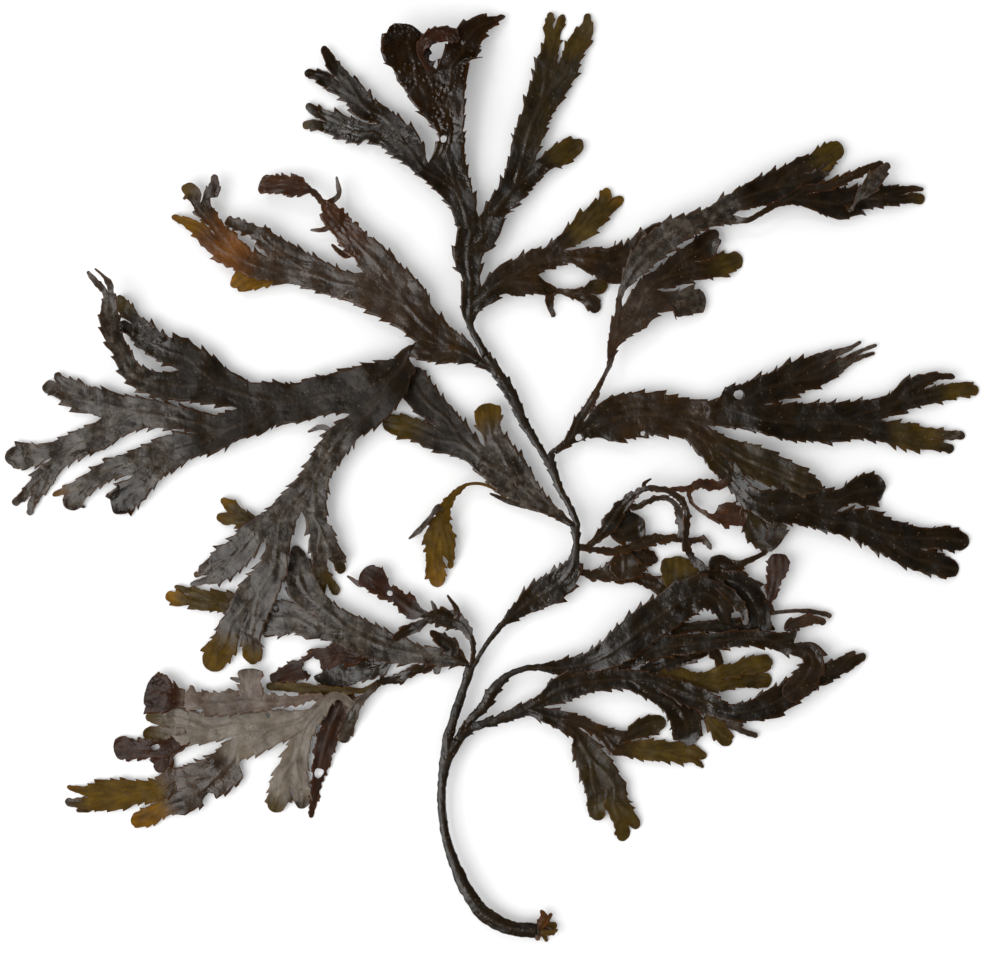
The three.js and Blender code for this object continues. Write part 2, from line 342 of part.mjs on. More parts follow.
    [75, -42.5, 5, 5.6], [74.8, -38, 5, 6.1], [75, -34.5, 4, 4.7], [75.2, -32, 3, 2.7],
  ]],
  ["middle", "kneeHigh", "on", [
    [50, -74, 7, 4], [60, -71, 7, 4.6], [70, -68, 7, 4.8], [80, -67, 7, 4.7], [90, -66, 7, 4.1],
    [100, -64.8, 7, 4], [110, -65.3, 7, 4.1], [116, -66.5, 6, 4.6], [121, -66.8, 6, 5.6],
  ]],
  ["middleTip", "middle", "L", [
    [119.8, -60.8, 6, 3.2], [124.3, -58.3, 5, 2.6], [129, -57.5, 4, 2], [134.2, -58.7, 3, 1.2],
  ]],
  ["middleLow", "middle", "R", [
    [127, -70.4, 6, 4.7], [128.9, -75, 6, 4.9], [126.7, -79.5, 6, 5.2], [122.6, -84.3, 7, 4.6],
    [117, -88, 8, 3],
  ]],
  ["thicket", "arch", "on", [
    [94, -41, 5, 4.4], [101.8, -45.1, 5, 6], [106.2, -52, 5, 5.4], [107.6, -60, 5, 4.3],
    [107.5, -66, 4, 2.5],
  ]],
  ["thicketStrap", "thicket", "on", [
    [91, -43.2, 8, 2.6], [96, -47.8, 8, 2.9], [100.3, -53, 7, 2.1], [102, -59.5, 6, 1.2],
  ]],
  ["thicketLink", "thicket", "on", [
    [91, -35.4, 4, 4.4], [97, -36.2, 4, 3], [103, -34, 4, 1.8], [110.6, -30.2, 3.5, 0.9],
  ]],
  ["standing", "thicket", "on", [
    [109.3, -54.5, 4, 1.5], [111.2, -48.5, 5, 3.1], [112.7, -42, 6, 4.4], [113.9, -36, 6, 4.7],
    [114, -31, 6, 3.7],
  ]],
  ["oarTip", "thicket", "on", [
    [114, -54.7, 4, 0.8], [121, -54, 4, 0.8], [129, -54.4, 3, 0.9], [136.6, -56.2, 2, 0.9],
  ]],
  ["thornTip", "thicket", "on", [[110.5, -59.5, 3, 1.8], [113.7, -61.7, 2, 0.7]]],
  ["bridge", "middle", "on", [[89, -70, 5, 2.4], [92.5, -75.5, 4, 1.2]]],
  ["backstay", "middle", "on", [
    [74, -62.5, 5, 2.6], [82, -60.3, 4, 2.6], [90, -60.2, 4, 3], [98, -60, 4, 3.2], [105, -60, 4, 3],
  ]],
  ["lowerStay", "lowMid", "on", [
    [63, -77.5, 4, 3.4], [71, -75.1, 4, 3.4], [79, -72.5, 4, 2.7], [87, -69.9, 4, 2],
  ]],
  ["kneeLow", "knee", "R", [[2, -97.6, 7, 2.5], [9, -95, 7, 3], [16, -92.7, 7, 4], [21, -92.3, 7, 6.9]]],
  ["lowMid", "kneeLow", "L", [
    [27, -85.6, 7, 6], [36, -82.9, 7, 5.2], [46, -81.4, 7, 4.7], [56, -81.4, 7, 4.9],
    [65.3, -84.4, 7, 6],
  ]],
  ["lowDrop", "lowMid", "R", [
    [73.5, -91.5, 6, 5.9], [77.8, -98, 5, 5.8], [78.8, -103.5, 3, 4.9], [78.8, -108.1, 2, 2.1],
  ]],
  ["lowEast", "lowMid", "L", [
    [76, -86, 7, 5], [86, -90.3, 7, 5], [95, -94.3, 7, 4], [103, -93.8, 7, 4.8], [110, -91.8, 7, 6],
    [116.5, -88.7, 6, 5.7], [122.5, -84.5, 6, 5.4], [128, -81, 5, 5], [134, -79, 5, 4.6],
    [140.5, -75.5, 4, 4.1],
  ]],
  ["lowEastA", "lowEast", "L", [[144, -71.6, 3, 1.4], [146, -70.2, 3, 0.8]]],
  ["lowEastB", "lowEast", "R", [[145, -74.2, 3, 2.5], [150.3, -71.8, 2, 1.5]]],
  ["pair", "lowMid", "on", [[72, -79.4, 4, 3.8], [82, -82, 4, 4.1], [92, -81.6, 4, 5.6]]],
  ["pairA", "pair", "L", [[99, -77.3, 3, 3.4], [106, -75.4, 3, 3.5], [113, -74.3, 2, 2.1]]],
  ["pairB", "pair", "R", [[100, -82.4, 3, 3], [106, -81.7, 2, 3.3], [112.6, -81.8, 1, 2.3]]],
  ["lowLeaf", "lowEast", "on", [[87.5, -97, 4, 2.6], [91.5, -102, 3, 3.5], [95.8, -108, 1, 1.8]]],
  ["lowStrandA", "lowEast", "on", [[92, -97.2, 4, 1.4], [98.5, -101.3, 3, 1.5], [107, -104.4, 2, 0.9]]],
  ["lowStrandB", "lowEast", "on", [[96.5, -98, 5, 1.2], [101, -100, 4, 0.9]]],
  ["lowTip", "kneeLow", "R", [[26, -96.7, 7, 4.4], [30.5, -98.4, 7, 4.9], [34.7, -100.3, 6, 5.4]]],
  ["finger", "lowTip", "L", [[41, -100.7, 5, 3.1], [46, -103.7, 4, 3.9], [51.5, -107, 4, 6.3]]],
  ["fingerHigh", "finger", "L", [[58, -102, 3, 3.7], [64, -100, 2, 3.8], [70, -98.2, 1, 2.3]]],
  ["fingerLow", "finger", "R", [[60, -109.7, 3, 4.5], [69, -110.2, 3, 4.8], [78, -111, 2, 4.6]]],
  ["fingerLowA", "fingerLow", "L", [[82.3, -110.8, 2, 2.4], [86.4, -112.8, 1, 1.3]]],
  ["fingerLowB", "fingerLow", "R", [[82.3, -114.5, 2, 1.5], [85.2, -117, 1, 0.7]]],
  ["south", "lowTip", "R", [
    [36.3, -107, 5, 5.2], [39.7, -113, 4, 6.7], [43, -119, 4, 8], [45.8, -125.5, 4, 8.7],
  ]],
  ["southEast", "south", "L", [[50.5, -131.5, 3, 5.4], [53.7, -137, 3, 5.2]]],
  ["southEastA", "southEast", "L", [[57.3, -138.7, 2, 2.4], [58.3, -141.7, 1, 1.4]]],
  ["southEastB", "southEast", "R", [[52.7, -141.5, 2, 3.3], [53, -146.5, 1, 2]]],
  ["southWest", "south", "R", [[42, -131.5, 3, 3.6], [43.7, -138, 2, 2.5]]],
  // ---- lower left thicket
  ["west", "stemUp", "L", [
    [-13.5, -73, 7, 4], [-20, -72, 7, 4.4], [-27, -71.5, 7, 4], [-35, -70, 6, 5.7], [-44, -67.6, 6, 7],
    [-53, -63.5, 6, 7.3], [-62, -59.5, 6, 7.6], [-69, -56.5, 6, 9.6],
  ]],
  ["westUp", "west", "R", [
    [-74, -46.6, 4, 7], [-76.5, -40, 3, 5.6], [-77, -34, 2, 3.8], [-79, -28, 2, 1.2],
  ]],
  ["westOut", "west", "L", [[-78, -57, 4, 6.4], [-86, -56.8, 3, 6.6], [-94, -57.4, 2, 5]]],
  ["westLobe", "west", "on", [[-15.7, -68.6, 8, 3.6], [-19.6, -65.6, 8, 3.4], [-24.3, -61.8, 8, 0.9]]],
  ["westStrap", "west", "on", [
    [-25, -75.8, 5, 2.6], [-32, -78.3, 5, 2.3], [-38, -81.3, 4, 2.4], [-45, -82.5, 4, 1.8],
  ]],
  ["westStub", "west", "on", [[-20.8, -75, 5, 1.6], [-22.3, -79.3, 4, 1.5]]],
  ["westDark", "west", "on", [
    [-43, -75.5, 4, 3.6], [-52, -78, 3, 5], [-62, -79, 2, 5.2], [-71, -80.5, 2, 2.6],
  ]],
  ["wisp", "stemUp", "on", [
    [-7, -71, 7, 0.9], [-7.6, -65.5, 7, 1.5], [-11.7, -59.4, 7, 3.7], [-18.6, -56.5, 7, 4.2],
    [-25.5, -56.3, 7, 3.1],
  ]],
  ["wispOut", "wisp", "R", [
    [-31, -53.6, 7, 4.3], [-36, -49.7, 7, 3.7], [-42, -45.7, 6, 3.4], [-47, -41.4, 6, 4.9],
    [-51.7, -38.3, 5, 3.6],
  ]],
  ["wispLow", "wisp", "L", [[-30, -60.2, 7, 2.5], [-34.5, -62.3, 7, 2.2], [-39, -65.5, 7, 1.5]]],
  ["wispHook", "wispOut", "on", [[-51, -43, 5, 1.4], [-57.7, -40, 4, 0.4]]],
  ["wispSpikeA", "wisp", "on", [[-13.4, -55, 8, 1.2], [-17.4, -47.4, 9, 0.4]]],
  ["wispSpikeB", "wisp", "on", [[-22.3, -53, 8, 1], [-23.9, -49.7, 8, 0.4]]],
  ["loopBlade", "west", "on", [
    [-52, -71.8, 4, 3.3], [-60, -71.5, 3, 4.8], [-67, -73, 3, 5.2], [-74, -76.6, 3, 5],
    [-81, -79, 2, 3.6], [-88.5, -82, 1, 1.6],
  ]],
  ["fibre", "westStrap", "on", [
    [-50, -85.6, 4, 1.4], [-60, -85.7, 4, 2.2], [-70, -85.3, 4, 2.5], [-80, -84.7, 3, 2.3],
    [-90, -84.2, 2, 1.5],
  ]],
  ["paleStrap", "westStrap", "on", [
    [-49.5, -87.3, 5, 1.6], [-54, -92, 5, 2.7], [-56.7, -99, 4, 2.9], [-59.5, -107, 2, 2.2],
  ]],
  ["brownTail", "paleStrap", "on", [
    [-58, -89, 3, 3.4], [-62.7, -97, 3, 4.5], [-65.9, -106, 3, 4.7], [-68.2, -115, 2, 4.1],
    [-69.9, -124, 2, 2.9], [-71.5, -132, 1, 2.1], [-72.3, -137.2, 1, 0.9],
  ]],
  ["greyTail", "paleStrap", "on", [
    [-62, -88, 5, 2.6], [-69, -94, 5, 3.8], [-75, -102, 4, 4.8], [-77.3, -110, 4, 5.2],
    [-79.6, -118, 3, 6.8], [-80.5, -124, 3, 8.9],
  ]],
  ["greyTailA", "greyTail", "L", [[-75.7, -128.8, 2, 3.7], [-75.7, -133.5, 1, 2.2]]],
  ["greyTailB", "greyTail", "R", [[-85.2, -129, 2, 4.1], [-87.8, -134.6, 1, 2.4]]],
  ["pale", "greyTail", "on", [
    [-70, -95, 3, 3], [-77, -98, 4, 5], [-86, -100.3, 4, 7.3], [-94.6, -102.7, 4, 9.2],
    [-102.7, -104.3, 4, 10.9],
  ]],
  ["paleWest", "pale", "R", [[-112, -101.4, 3, 6], [-120, -101, 3, 7.4], [-127, -100.5, 2, 8.2]]],
  ["paleWestA", "paleWest", "R", [[-132.3, -97, 2, 3], [-138.6, -96.6, 1, 1.6]]],
  ["paleWestB", "paleWest", "L", [[-133.3, -103.5, 2, 3.2], [-139.6, -103, 1, 2]]],
  ["rustPaw", "paleWest", "on", [
    [-123, -105, 3, 3.6], [-130, -108.7, 3, 4.2], [-137, -109.3, 3, 4], [-144, -109, 2, 4.1],
    [-151.4, -109.6, 1, 3.9],
  ]],
  ["rustPawLow", "rustPaw", "on", [[-131.5, -113.2, 2, 4], [-134, -118.6, 1, 2.8]]],
  ["paleSouth", "pale", "L", [
    [-102.9, -112.8, 4, 7.8], [-108.5, -118.8, 4, 8.4], [-117, -123.3, 3, 9.3], [-125, -126.1, 3, 9.8],
  ]],
  ["paleSouthA", "paleSouth", "L", [
    [-131.5, -133, 2, 4], [-137.5, -136.6, 2, 3.6], [-144.5, -138.7, 1, 2.3],
  ]],
  ["paleSouthB", "paleSouth", "R", [
    [-133, -125.6, 3, 5.3], [-140, -126.6, 3, 5.1], [-148, -127.5, 3, 6.6], [-156, -128.2, 2, 6.6],
    [-161, -128.9, 2, 5.7],
  ]],
  ["paleSouthBL", "paleSouthB", "L", [[-165.5, -131, 1, 2.4], [-171, -130.6, 1, 1.5]]],
  ["paleSouthBR", "paleSouthB", "R", [[-165, -126, 2, 2], [-170.2, -124.6, 1, 0.6]]],
  ["paleSouthC", "paleSouthB", "on", [[-160.5, -132.8, 1, 1.8], [-166.5, -134.3, 1, 0.7]]],
  ["tee", "brownTail", "on", [
    [-69, -88.5, 5, 2], [-78, -89.5, 6, 2.5], [-88, -90.1, 6, 3.6], [-97, -89.8, 6, 5.2],
    [-107, -90.9, 6, 5.3], [-116, -90.5, 5, 3.5], [-123, -88.6, 5, 4], [-128, -86.6, 4, 6.3],
    [-132.7, -86.2, 3, 6.9], [-137.8, -88.4, 2, 3.8],
  ]],
  ["teeLobe", "tee", "on", [[-96, -85, 6, 4.8], [-96, -81, 6, 4], [-96, -77, 6, 5.4]]],
  ["teeSpur", "teeLobe", "on", [[-100, -81.8, 5, 1.3], [-104.5, -80.8, 4, 0.4]]],
  // ---- holdfast claws
  ["clawA", "stem", "on", [[20.5, -177.5, 5, 1.5], [21.3, -174, 6, 0.5]]],
  ["clawB", "stem", "on", [[22, -178.5, 4, 1.6], [24.4, -175.2, 3, 0.6]]],
  ["clawC", "stem", "on", [[22.5, -180.3, 4, 1.5], [26.4, -180, 2, 1.2]]],
  ["clawD", "stem", "on", [[22.5, -181.8, 5, 1.5], [25.6, -183, 6, 0.9]]],
  ["clawE", "stem", "on", [[21, -183.3, 3, 1.5], [22.3, -186.7, 1, 0.6]]],
  ["clawF", "stem", "on", [[18.7, -184, 4, 1.5], [18.4, -186, 2, 0.8]]],
];

// ---- small round holes worn through the blades: x, y, radius ----
const HOLES = [
  [-112.4, -129.8, 2.8],
  [99, 32.5, 1.8],
  [-69, -119, 1.8],
  [-71.5, -76.7, 3.9],
  [-134.5, -108.7, 1.5],
  [-86.3, -53, 1],
  [-19, 134, 1.2],
];

// ---- a repeatable scatter of small differences ----
let seed = 20531;
function chance() {
  seed = (seed + 0x6d2b79f5) | 0;
  let t = Math.imul(seed ^ (seed >>> 15), 1 | seed);
  t = (t + Math.imul(t ^ (t >>> 7), 61 | t)) ^ t;
  return ((t ^ (t >>> 14)) >>> 0) / 4294967296;
}

// ---- a smooth course through the stations of a blade ----
function courseOf(stations) {
  const reach = [0];
  for (let i = 1; i < stations.length; i += 1) {
    const [a, b] = [stations[i - 1], stations[i]];
    reach.push(reach[i - 1] + Math.hypot(b[0] - a[0], b[1] - a[1], b[2] - a[2]));
  }
  const value = (i, k) => stations[i][k] ?? 0;
  const rise = (i, k) => (value(i + 1, k) - value(i, k)) / (reach[i + 1] - reach[i]);
  const last = stations.length - 1;
  function slope(i, k) {
    if (i === 0) return rise(0, k);
    if (i === last) return rise(last - 1, k);
    const before = reach[i] - reach[i - 1];
    const after = reach[i + 1] - reach[i];
    return (rise(i - 1, k) * after + rise(i, k) * before) / (before + after);
  }
  function at(u) {
    let i = 0;
    while (i < last - 1 && u > reach[i + 1]) i += 1;
    const gap = reach[i + 1] - reach[i];
    const t = Math.min(1, Math.max(0, (u - reach[i]) / gap));
    return [0, 1, 2, 3, 4].map((k) => {
      const [p, q] = [value(i, k), value(i + 1, k)];
      const [m, n] = [slope(i, k) * gap, slope(i + 1, k) * gap];
      const bend = (2 * t ** 3 - 3 * t ** 2 + 1) * p + (t ** 3 - 2 * t ** 2 + t) * m;
      return bend + (3 * t ** 2 - 2 * t ** 3) * q + (t ** 3 - t ** 2) * n;
    });
  }
  return { length: reach[last], at };
}

const UP = new THREE.Vector3(0, 0, 1);
const vec = (p) => new THREE.Vector3(p[0], p[1], p[2]);
const smooth = (t) => t * t * (3 - 2 * t);

// ---- the frame of a blade at one place: middle, left-pointing side, upward face ----
function frameAt(blade, u) {
  const { course, age } = blade;
  const p = course.at(u);
  const ahead = vec(course.at(Math.min(u + 0.4, course.length)));
  const behind = vec(course.at(Math.max(u - 0.4, 0)));
  const along = ahead.sub(behind).normalize();
  const side = UP.clone().cross(along).normalize();
  const face = along.clone().cross(side).normalize();
  const roll = THREE.MathUtils.degToRad(p[4]);
  const left = side.clone().multiplyScalar(Math.cos(roll)).addScaledVector(face, Math.sin(roll));
  if (blade.birthSide) {
    const grown = smooth(Math.min(1, u / (1.6 * blade.birthWidth)));
    left.lerp(blade.birthSide, 1 - grown).normalize();
  }
  const up = along.clone().cross(left).normalize();
  const width = Math.max(0.25, p[3]);
  const rib = RIB_BLADE + (RIB_STEM - RIB_BLADE) * Math.exp(-(age + u) / RIB_FADE);
  return { middle: vec(p), left, up, width, rib: Math.min(rib, 1.3 * width), u };
}

// ---- one surface that grows blade by blade ----
class Skin {
  constructor() {
    this.points = [];
    this.faces = [];
  }

  point(p) {
    this.points.push(p.x, p.y, Math.max(p.z, 0));
    return this.points.length / 3 - 1;
  }

  pair(p, up, thickness) {
    const low = Math.max(0, p.z - (up.z * thickness) / 2);
    const bottom = this.point(p.clone().addScaledVector(up, -thickness / 2));
    const top = p.clone().addScaledVector(up, thickness / 2);
    top.z = Math.max(top.z, low + 0.9 * thickness * Math.abs(up.z));
    return { top: this.point(top), bottom };
  }

  ring(...ids) {
    for (let i = 1; i < ids.length - 1; i += 1) this.faces.push(ids[0], ids[i], ids[i + 1]);
  }

  // Both faces of the skin at once: the lower one is wound the other way.
  both(ids) {
    this.ring(...ids.map((id) => id.top ?? id));
    this.ring(...ids.map((id) => id.bottom ?? id).reverse());
  }
}

function marginOf(frame, blade, sign) {
  const wave = Math.sin((frame.u / RUFFLE_LENGTH) * 2 * Math.PI + blade.phase + sign);
  const lift = frame.width * (CUP + RUFFLE * wave) * Math.min(1, frame.u / 6);
  const drawnIn = frame.width < TOOTHED_FROM || frame.u < 1 ? 0 : TOOTH_ROOT;
  return frame.middle
    .clone()
    .addScaledVector(frame.left, sign * (frame.width - drawnIn))
    .addScaledVector(frame.up, lift);
}

function section(skin, blade, frame) {
  return {
    left: skin.point(marginOf(frame, blade, 1)),
    rib: skin.pair(frame.middle, frame.up, frame.rib),
    right: skin.point(marginOf(frame, blade, -1)),
  };
}

// A fork's last section: two young midribs with the notch between them.
function forkSection(skin, blade, frame) {
  const split = NOTCH[blade.name] ?? 0.5;
  const [leftEdge, rightEdge] = [marginOf(frame, blade, 1), marginOf(frame, blade, -1)];
  const notch = leftEdge.clone().lerp(rightEdge, split);
  const leftRib = leftEdge.clone().lerp(notch, 0.5);
  const rightRib = rightEdge.clone().lerp(notch, 0.5);
  const ids = {
    left: skin.point(leftEdge),
    leftRib: skin.pair(leftRib, frame.up, frame.rib),
    notch: skin.point(notch),
    rightRib: skin.pair(rightRib, frame.up, frame.rib),
    right: skin.point(rightEdge),
  };
  const birth = (middle, edge, rib, l, r) => ({
    middle,
    width: middle.distanceTo(edge),
    side: frame.left,
    section: { left: l, rib, right: r },
  });
  return {
    ids,
    L: birth(leftRib, leftEdge, ids.leftRib, ids.left, ids.notch),
    R: birth(rightRib, rightEdge, ids.rightRib, ids.notch, ids.right),
  };
}

// Between two sections: both halves, each with a forward-pointing tooth if it has one.
function web(skin, a, b, leftTooth, rightTooth) {
  const tooth = (id) => (id === null ? [] : [id]);
  if (b.tip !== undefined) {
    skin.both([a.left, a.rib, b.tip]);
    skin.both([a.rib, a.right, b.tip]);
  } else if (b.notch !== undefined) {
    skin.both([...tooth(leftTooth), a.left, a.rib, b.leftRib, b.left]);
    skin.both([a.rib, b.notch, b.leftRib]);
    skin.both([a.rib, b.rightRib, b.notch]);
    skin.both([...tooth(rightTooth), b.right, b.rightRib, a.rib, a.right]);
  } else {
    skin.both([...tooth(leftTooth), a.left, a.rib, b.rib, b.left]);
    skin.both([...tooth(rightTooth), b.right, b.rib, a.rib, a.right]);
  }
}

function toothBetween(skin, blade, a, b, sign) {
  const width = Math.min(a.width, b.width);
  if (width < TOOTHED_FROM) return null;
  const reach = TOOTH_REACH * (0.35 + 0.65 * chance()) * Math.min(1, width / 5.5);
  const root = marginOf(a, blade, sign).lerp(marginOf(b, blade, sign), 0.72 + 0.16 * chance());
  return skin.point(root.addScaledVector(b.left, sign * reach));
}

// Where the sections of a blade fall: one to a tooth, wider apart on a bare stem.
function placesOf(blade) {
  const { course } = blade;
  const blunt = blade.forked ? 0 : Math.min(0.55 * course.at(course.length)[3], 2.2);
  const room = course.length - blunt;
  const places = [0];
  while (places.at(-1) < room) {
    const width = course.at(places.at(-1))[3];
    const pitch = width < TOOTHED_FROM ? STEM_PITCH : TOOTH_PITCH * (0.82 + 0.36 * chance());
    places.push(places.at(-1) + pitch);
  }
  if (places.length > 2 && places.at(-1) - room > 0.5 * TOOTH_PITCH) places.pop();
  const stretch = room / places.at(-1);
  const spread = places.map((u) => u * stretch);
  return blade.forked ? spread : [...spread, course.length];
}

function growBlade(skin, blade, blades) {
  const places = placesOf(blade);
  const end = places.length - 1;
  let before = frameAt(blade, 0);
  let from = blade.birthSection;
  if (!from) {
    from = section(skin, blade, before);
    skin.both([from.rib, from.left, from.right]);
  }
  blade.trail = [before];
  for (let i = 1; i <= end; i += 1) {
    const frame = frameAt(blade, places[i]);
    const closing = i === end;
    let to;
    if (closing && blade.forked) {
      const fork = forkSection(skin, blade, frame);
      to = fork.ids;
      blade.fork = fork;
    } else if (closing) {
      to = { tip: skin.point(frame.middle) };
    } else {
      to = section(skin, blade, frame);
    }
    const bare = closing && !blade.forked;
    const leftTooth = bare ? null : toothBetween(skin, blade, before, frame, 1);
    const rightTooth = bare ? null : toothBetween(skin, blade, before, frame, -1);
    web(skin, from, to, leftTooth, rightTooth);
    blade.trail.push(frame);
    before = frame;
    from = to;
  }
  for (const child of blades.filter((b) => b.parent === blade.name && b.how !== "on")) {
    const birth = blade.fork[child.how];
    const start = [birth.middle.x, birth.middle.y, birth.middle.z, birth.width, 0];
    child.course = courseOf([start, ...child.stations]);
    child.age = blade.age + blade.course.length;
    child.birthSide = birth.side;
    child.birthWidth = birth.width;
    child.birthSection = birth.section;
    growBlade(skin, child, blades);
  }
}

// A blade that grows on another starts inside the nearest stretch of its midrib.
function rootOn(parent, station) {
  const spot = new THREE.Vector3(station[0], station[1], 0);
  let best = parent.trail[0];
  for (let u = 0; u <= parent.course.length; u += 0.5) {
    const frame = frameAt(parent, u);
    const flat = frame.middle.clone().setZ(0);
    if (flat.distanceTo(spot) < best.middle.clone().setZ(0).distanceTo(spot)) best = frame;
  }
  return best;
}

function solidOf(skin) {
  const mesh = new wasm.Mesh({
    numProp: 3,
    vertProperties: new Float32Array(skin.points),
    triVerts: new Uint32Array(skin.faces),
  });
  return new wasm.Manifold(mesh);
}

function growFrond() {
  const blades = BLADES.map(([name, parent, how, stations]) => ({
    name,
    parent,
    how,
    stations,
    phase: chance() * 6.28,
    age: 0,
  }));
  for (const blade of blades) {
    blade.forked = blades.some((b) => b.parent === blade.name && b.how !== "on");
  }
  const solids = [];
  for (const blade of blades.filter((b) => b.how === "" || b.how === "on")) {
    const skin = new Skin();
    let stations = blade.stations;
    if (blade.how === "on") {
      const parent = blades.find((b) => b.name === blade.parent);
      const root = rootOn(parent, stations[0]);
      const width = Math.min(0.9 * stations[0][3], 0.8 * root.width);
      const start = [root.middle.x, root.middle.y, root.middle.z, width, 0];
      const away = Math.hypot(start[0] - stations[0][0], start[1] - stations[0][1]);
      stations = away < 1.5 ? [start, ...stations.slice(1)] : [start, ...stations];
      blade.age = parent.age + root.u;
    }
    blade.course = courseOf(stations);
    growBlade(skin, blade, blades);
    solids.push(solidOf(skin));
  }
  return solids;
}

function pierce(body) {
  let worn = body;
  for (const [x, y, radius] of HOLES) {
    const drill = new THREE.CylinderGeometry(radius, radius, 60, 7);
    drill.rotateX(Math.PI / 2);
    drill.translate(x, y, 20);
    worn = worn.subtract(solidOf(skinOf(drill)));
  }
  return worn;
}

// The drill's own points, with the seams of its rim and caps closed.
function skinOf(geometry) {
  const skin = new Skin();
  const seen = new Map();
  const place = geometry.getAttribute("position");
  const ids = [];
  for (let i = 0; i < place.count; i += 1) {
    const key = [place.getX(i), place.getY(i), place.getZ(i)].map((v) => v.toFixed(4)).join();
    if (!seen.has(key)) {
      seen.set(key, skin.points.length / 3);
      skin.points.push(place.getX(i), place.getY(i), place.getZ(i));
    }
    ids.push(seen.get(key));
  }
  const index = geometry.getIndex();
  for (let i = 0; i < index.count; i += 3) {
    const corner = [0, 1, 2].map((k) => ids[index.getX(i + k)]);
    if (new Set(corner).size === 3) skin.faces.push(...corner);
  }
  return skin;
}

const wasm = await Module();
wasm.setup();

const joined = wasm.Manifold.union(growFrond());
// Where two blades only just meet, a crumb or a pinhole is left: the frond itself is kept.
const pieces = pierce(joined).simplify(LEATHER).decompose();
const frond = pieces.reduce((best, piece) => (piece.volume() > best.volume() ? piece : best));
const mesh = frond.getMesh();

const geometry = new THREE.BufferGeometry();
geometry.setAttribute("position", new THREE.BufferAttribute(new Float32Array(mesh.vertProperties), 3));
geometry.setIndex([...mesh.triVerts]);
geometry.computeBoundingBox();
const box = geometry.boundingBox;
const centre = box.getCenter(new THREE.Vector3());
geometry.translate(-centre.x, -centre.y, -box.min.z);
geometry.computeVertexNormals();

const driedBlade = new THREE.MeshStandardMaterial({ color: "#2e2620", roughness: 0.55, metalness: 0 });
driedBlade.name = "dried_wrack";

const wrack = new THREE.Mesh(geometry, driedBlade);
wrack.name = "wrack";

const part = new THREE.Group();
part.name = "dried_serrated_wrack";
part.add(wrack);

export default part;
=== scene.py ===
# %% [markdown]
# # A dried serrated wrack
#
# The object is one whole frond of serrated wrack, a flat brown seaweed, dried and laid
# out on a white table. A round stem rises from a frayed holdfast and turns into blades
# that fork again and again. The blades are thin as leather, with a midrib, saw-toothed
# margins and blunt tips, and they curl a little as they dry.
#
# The solid frame already has the frond's true outline. This script grows the same
# blades once more with a fine skin: every tooth, ruffle, fold and midrib, and then the
# colours, from near-black through silver-grey to olive and amber tips.
#
# Sizes are in millimetres, and are those of the real plant, until a finished skin is
# scaled to the metres of the frame.

import json
import math
import random

import bmesh
import bpy
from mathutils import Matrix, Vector, noise

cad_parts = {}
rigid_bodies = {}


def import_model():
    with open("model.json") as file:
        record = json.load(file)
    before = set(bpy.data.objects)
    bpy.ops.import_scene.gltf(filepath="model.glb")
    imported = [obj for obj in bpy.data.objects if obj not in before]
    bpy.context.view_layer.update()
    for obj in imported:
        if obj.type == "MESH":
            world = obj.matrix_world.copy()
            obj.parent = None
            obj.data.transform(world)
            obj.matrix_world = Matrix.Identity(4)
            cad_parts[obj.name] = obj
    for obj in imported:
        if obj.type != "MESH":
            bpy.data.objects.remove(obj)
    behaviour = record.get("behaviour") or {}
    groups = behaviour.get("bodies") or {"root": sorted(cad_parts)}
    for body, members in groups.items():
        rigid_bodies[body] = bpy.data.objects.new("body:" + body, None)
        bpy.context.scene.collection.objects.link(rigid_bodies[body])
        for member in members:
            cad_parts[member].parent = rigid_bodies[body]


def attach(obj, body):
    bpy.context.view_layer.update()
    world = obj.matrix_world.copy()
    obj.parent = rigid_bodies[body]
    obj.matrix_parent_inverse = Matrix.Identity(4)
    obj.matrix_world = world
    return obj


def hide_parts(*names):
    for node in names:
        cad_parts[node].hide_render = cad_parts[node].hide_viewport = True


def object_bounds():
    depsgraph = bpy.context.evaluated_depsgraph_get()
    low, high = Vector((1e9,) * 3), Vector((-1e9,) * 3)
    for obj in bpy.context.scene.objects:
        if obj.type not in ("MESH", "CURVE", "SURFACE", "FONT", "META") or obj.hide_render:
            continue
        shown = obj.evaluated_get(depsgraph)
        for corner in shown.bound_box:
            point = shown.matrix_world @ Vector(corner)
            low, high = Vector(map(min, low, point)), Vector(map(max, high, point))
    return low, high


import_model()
CAD_LOW, CAD_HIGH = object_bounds()
MM = 0.001

print("the frond is", [round(side / MM, 1) for side in CAD_HIGH - CAD_LOW], "mm in all")
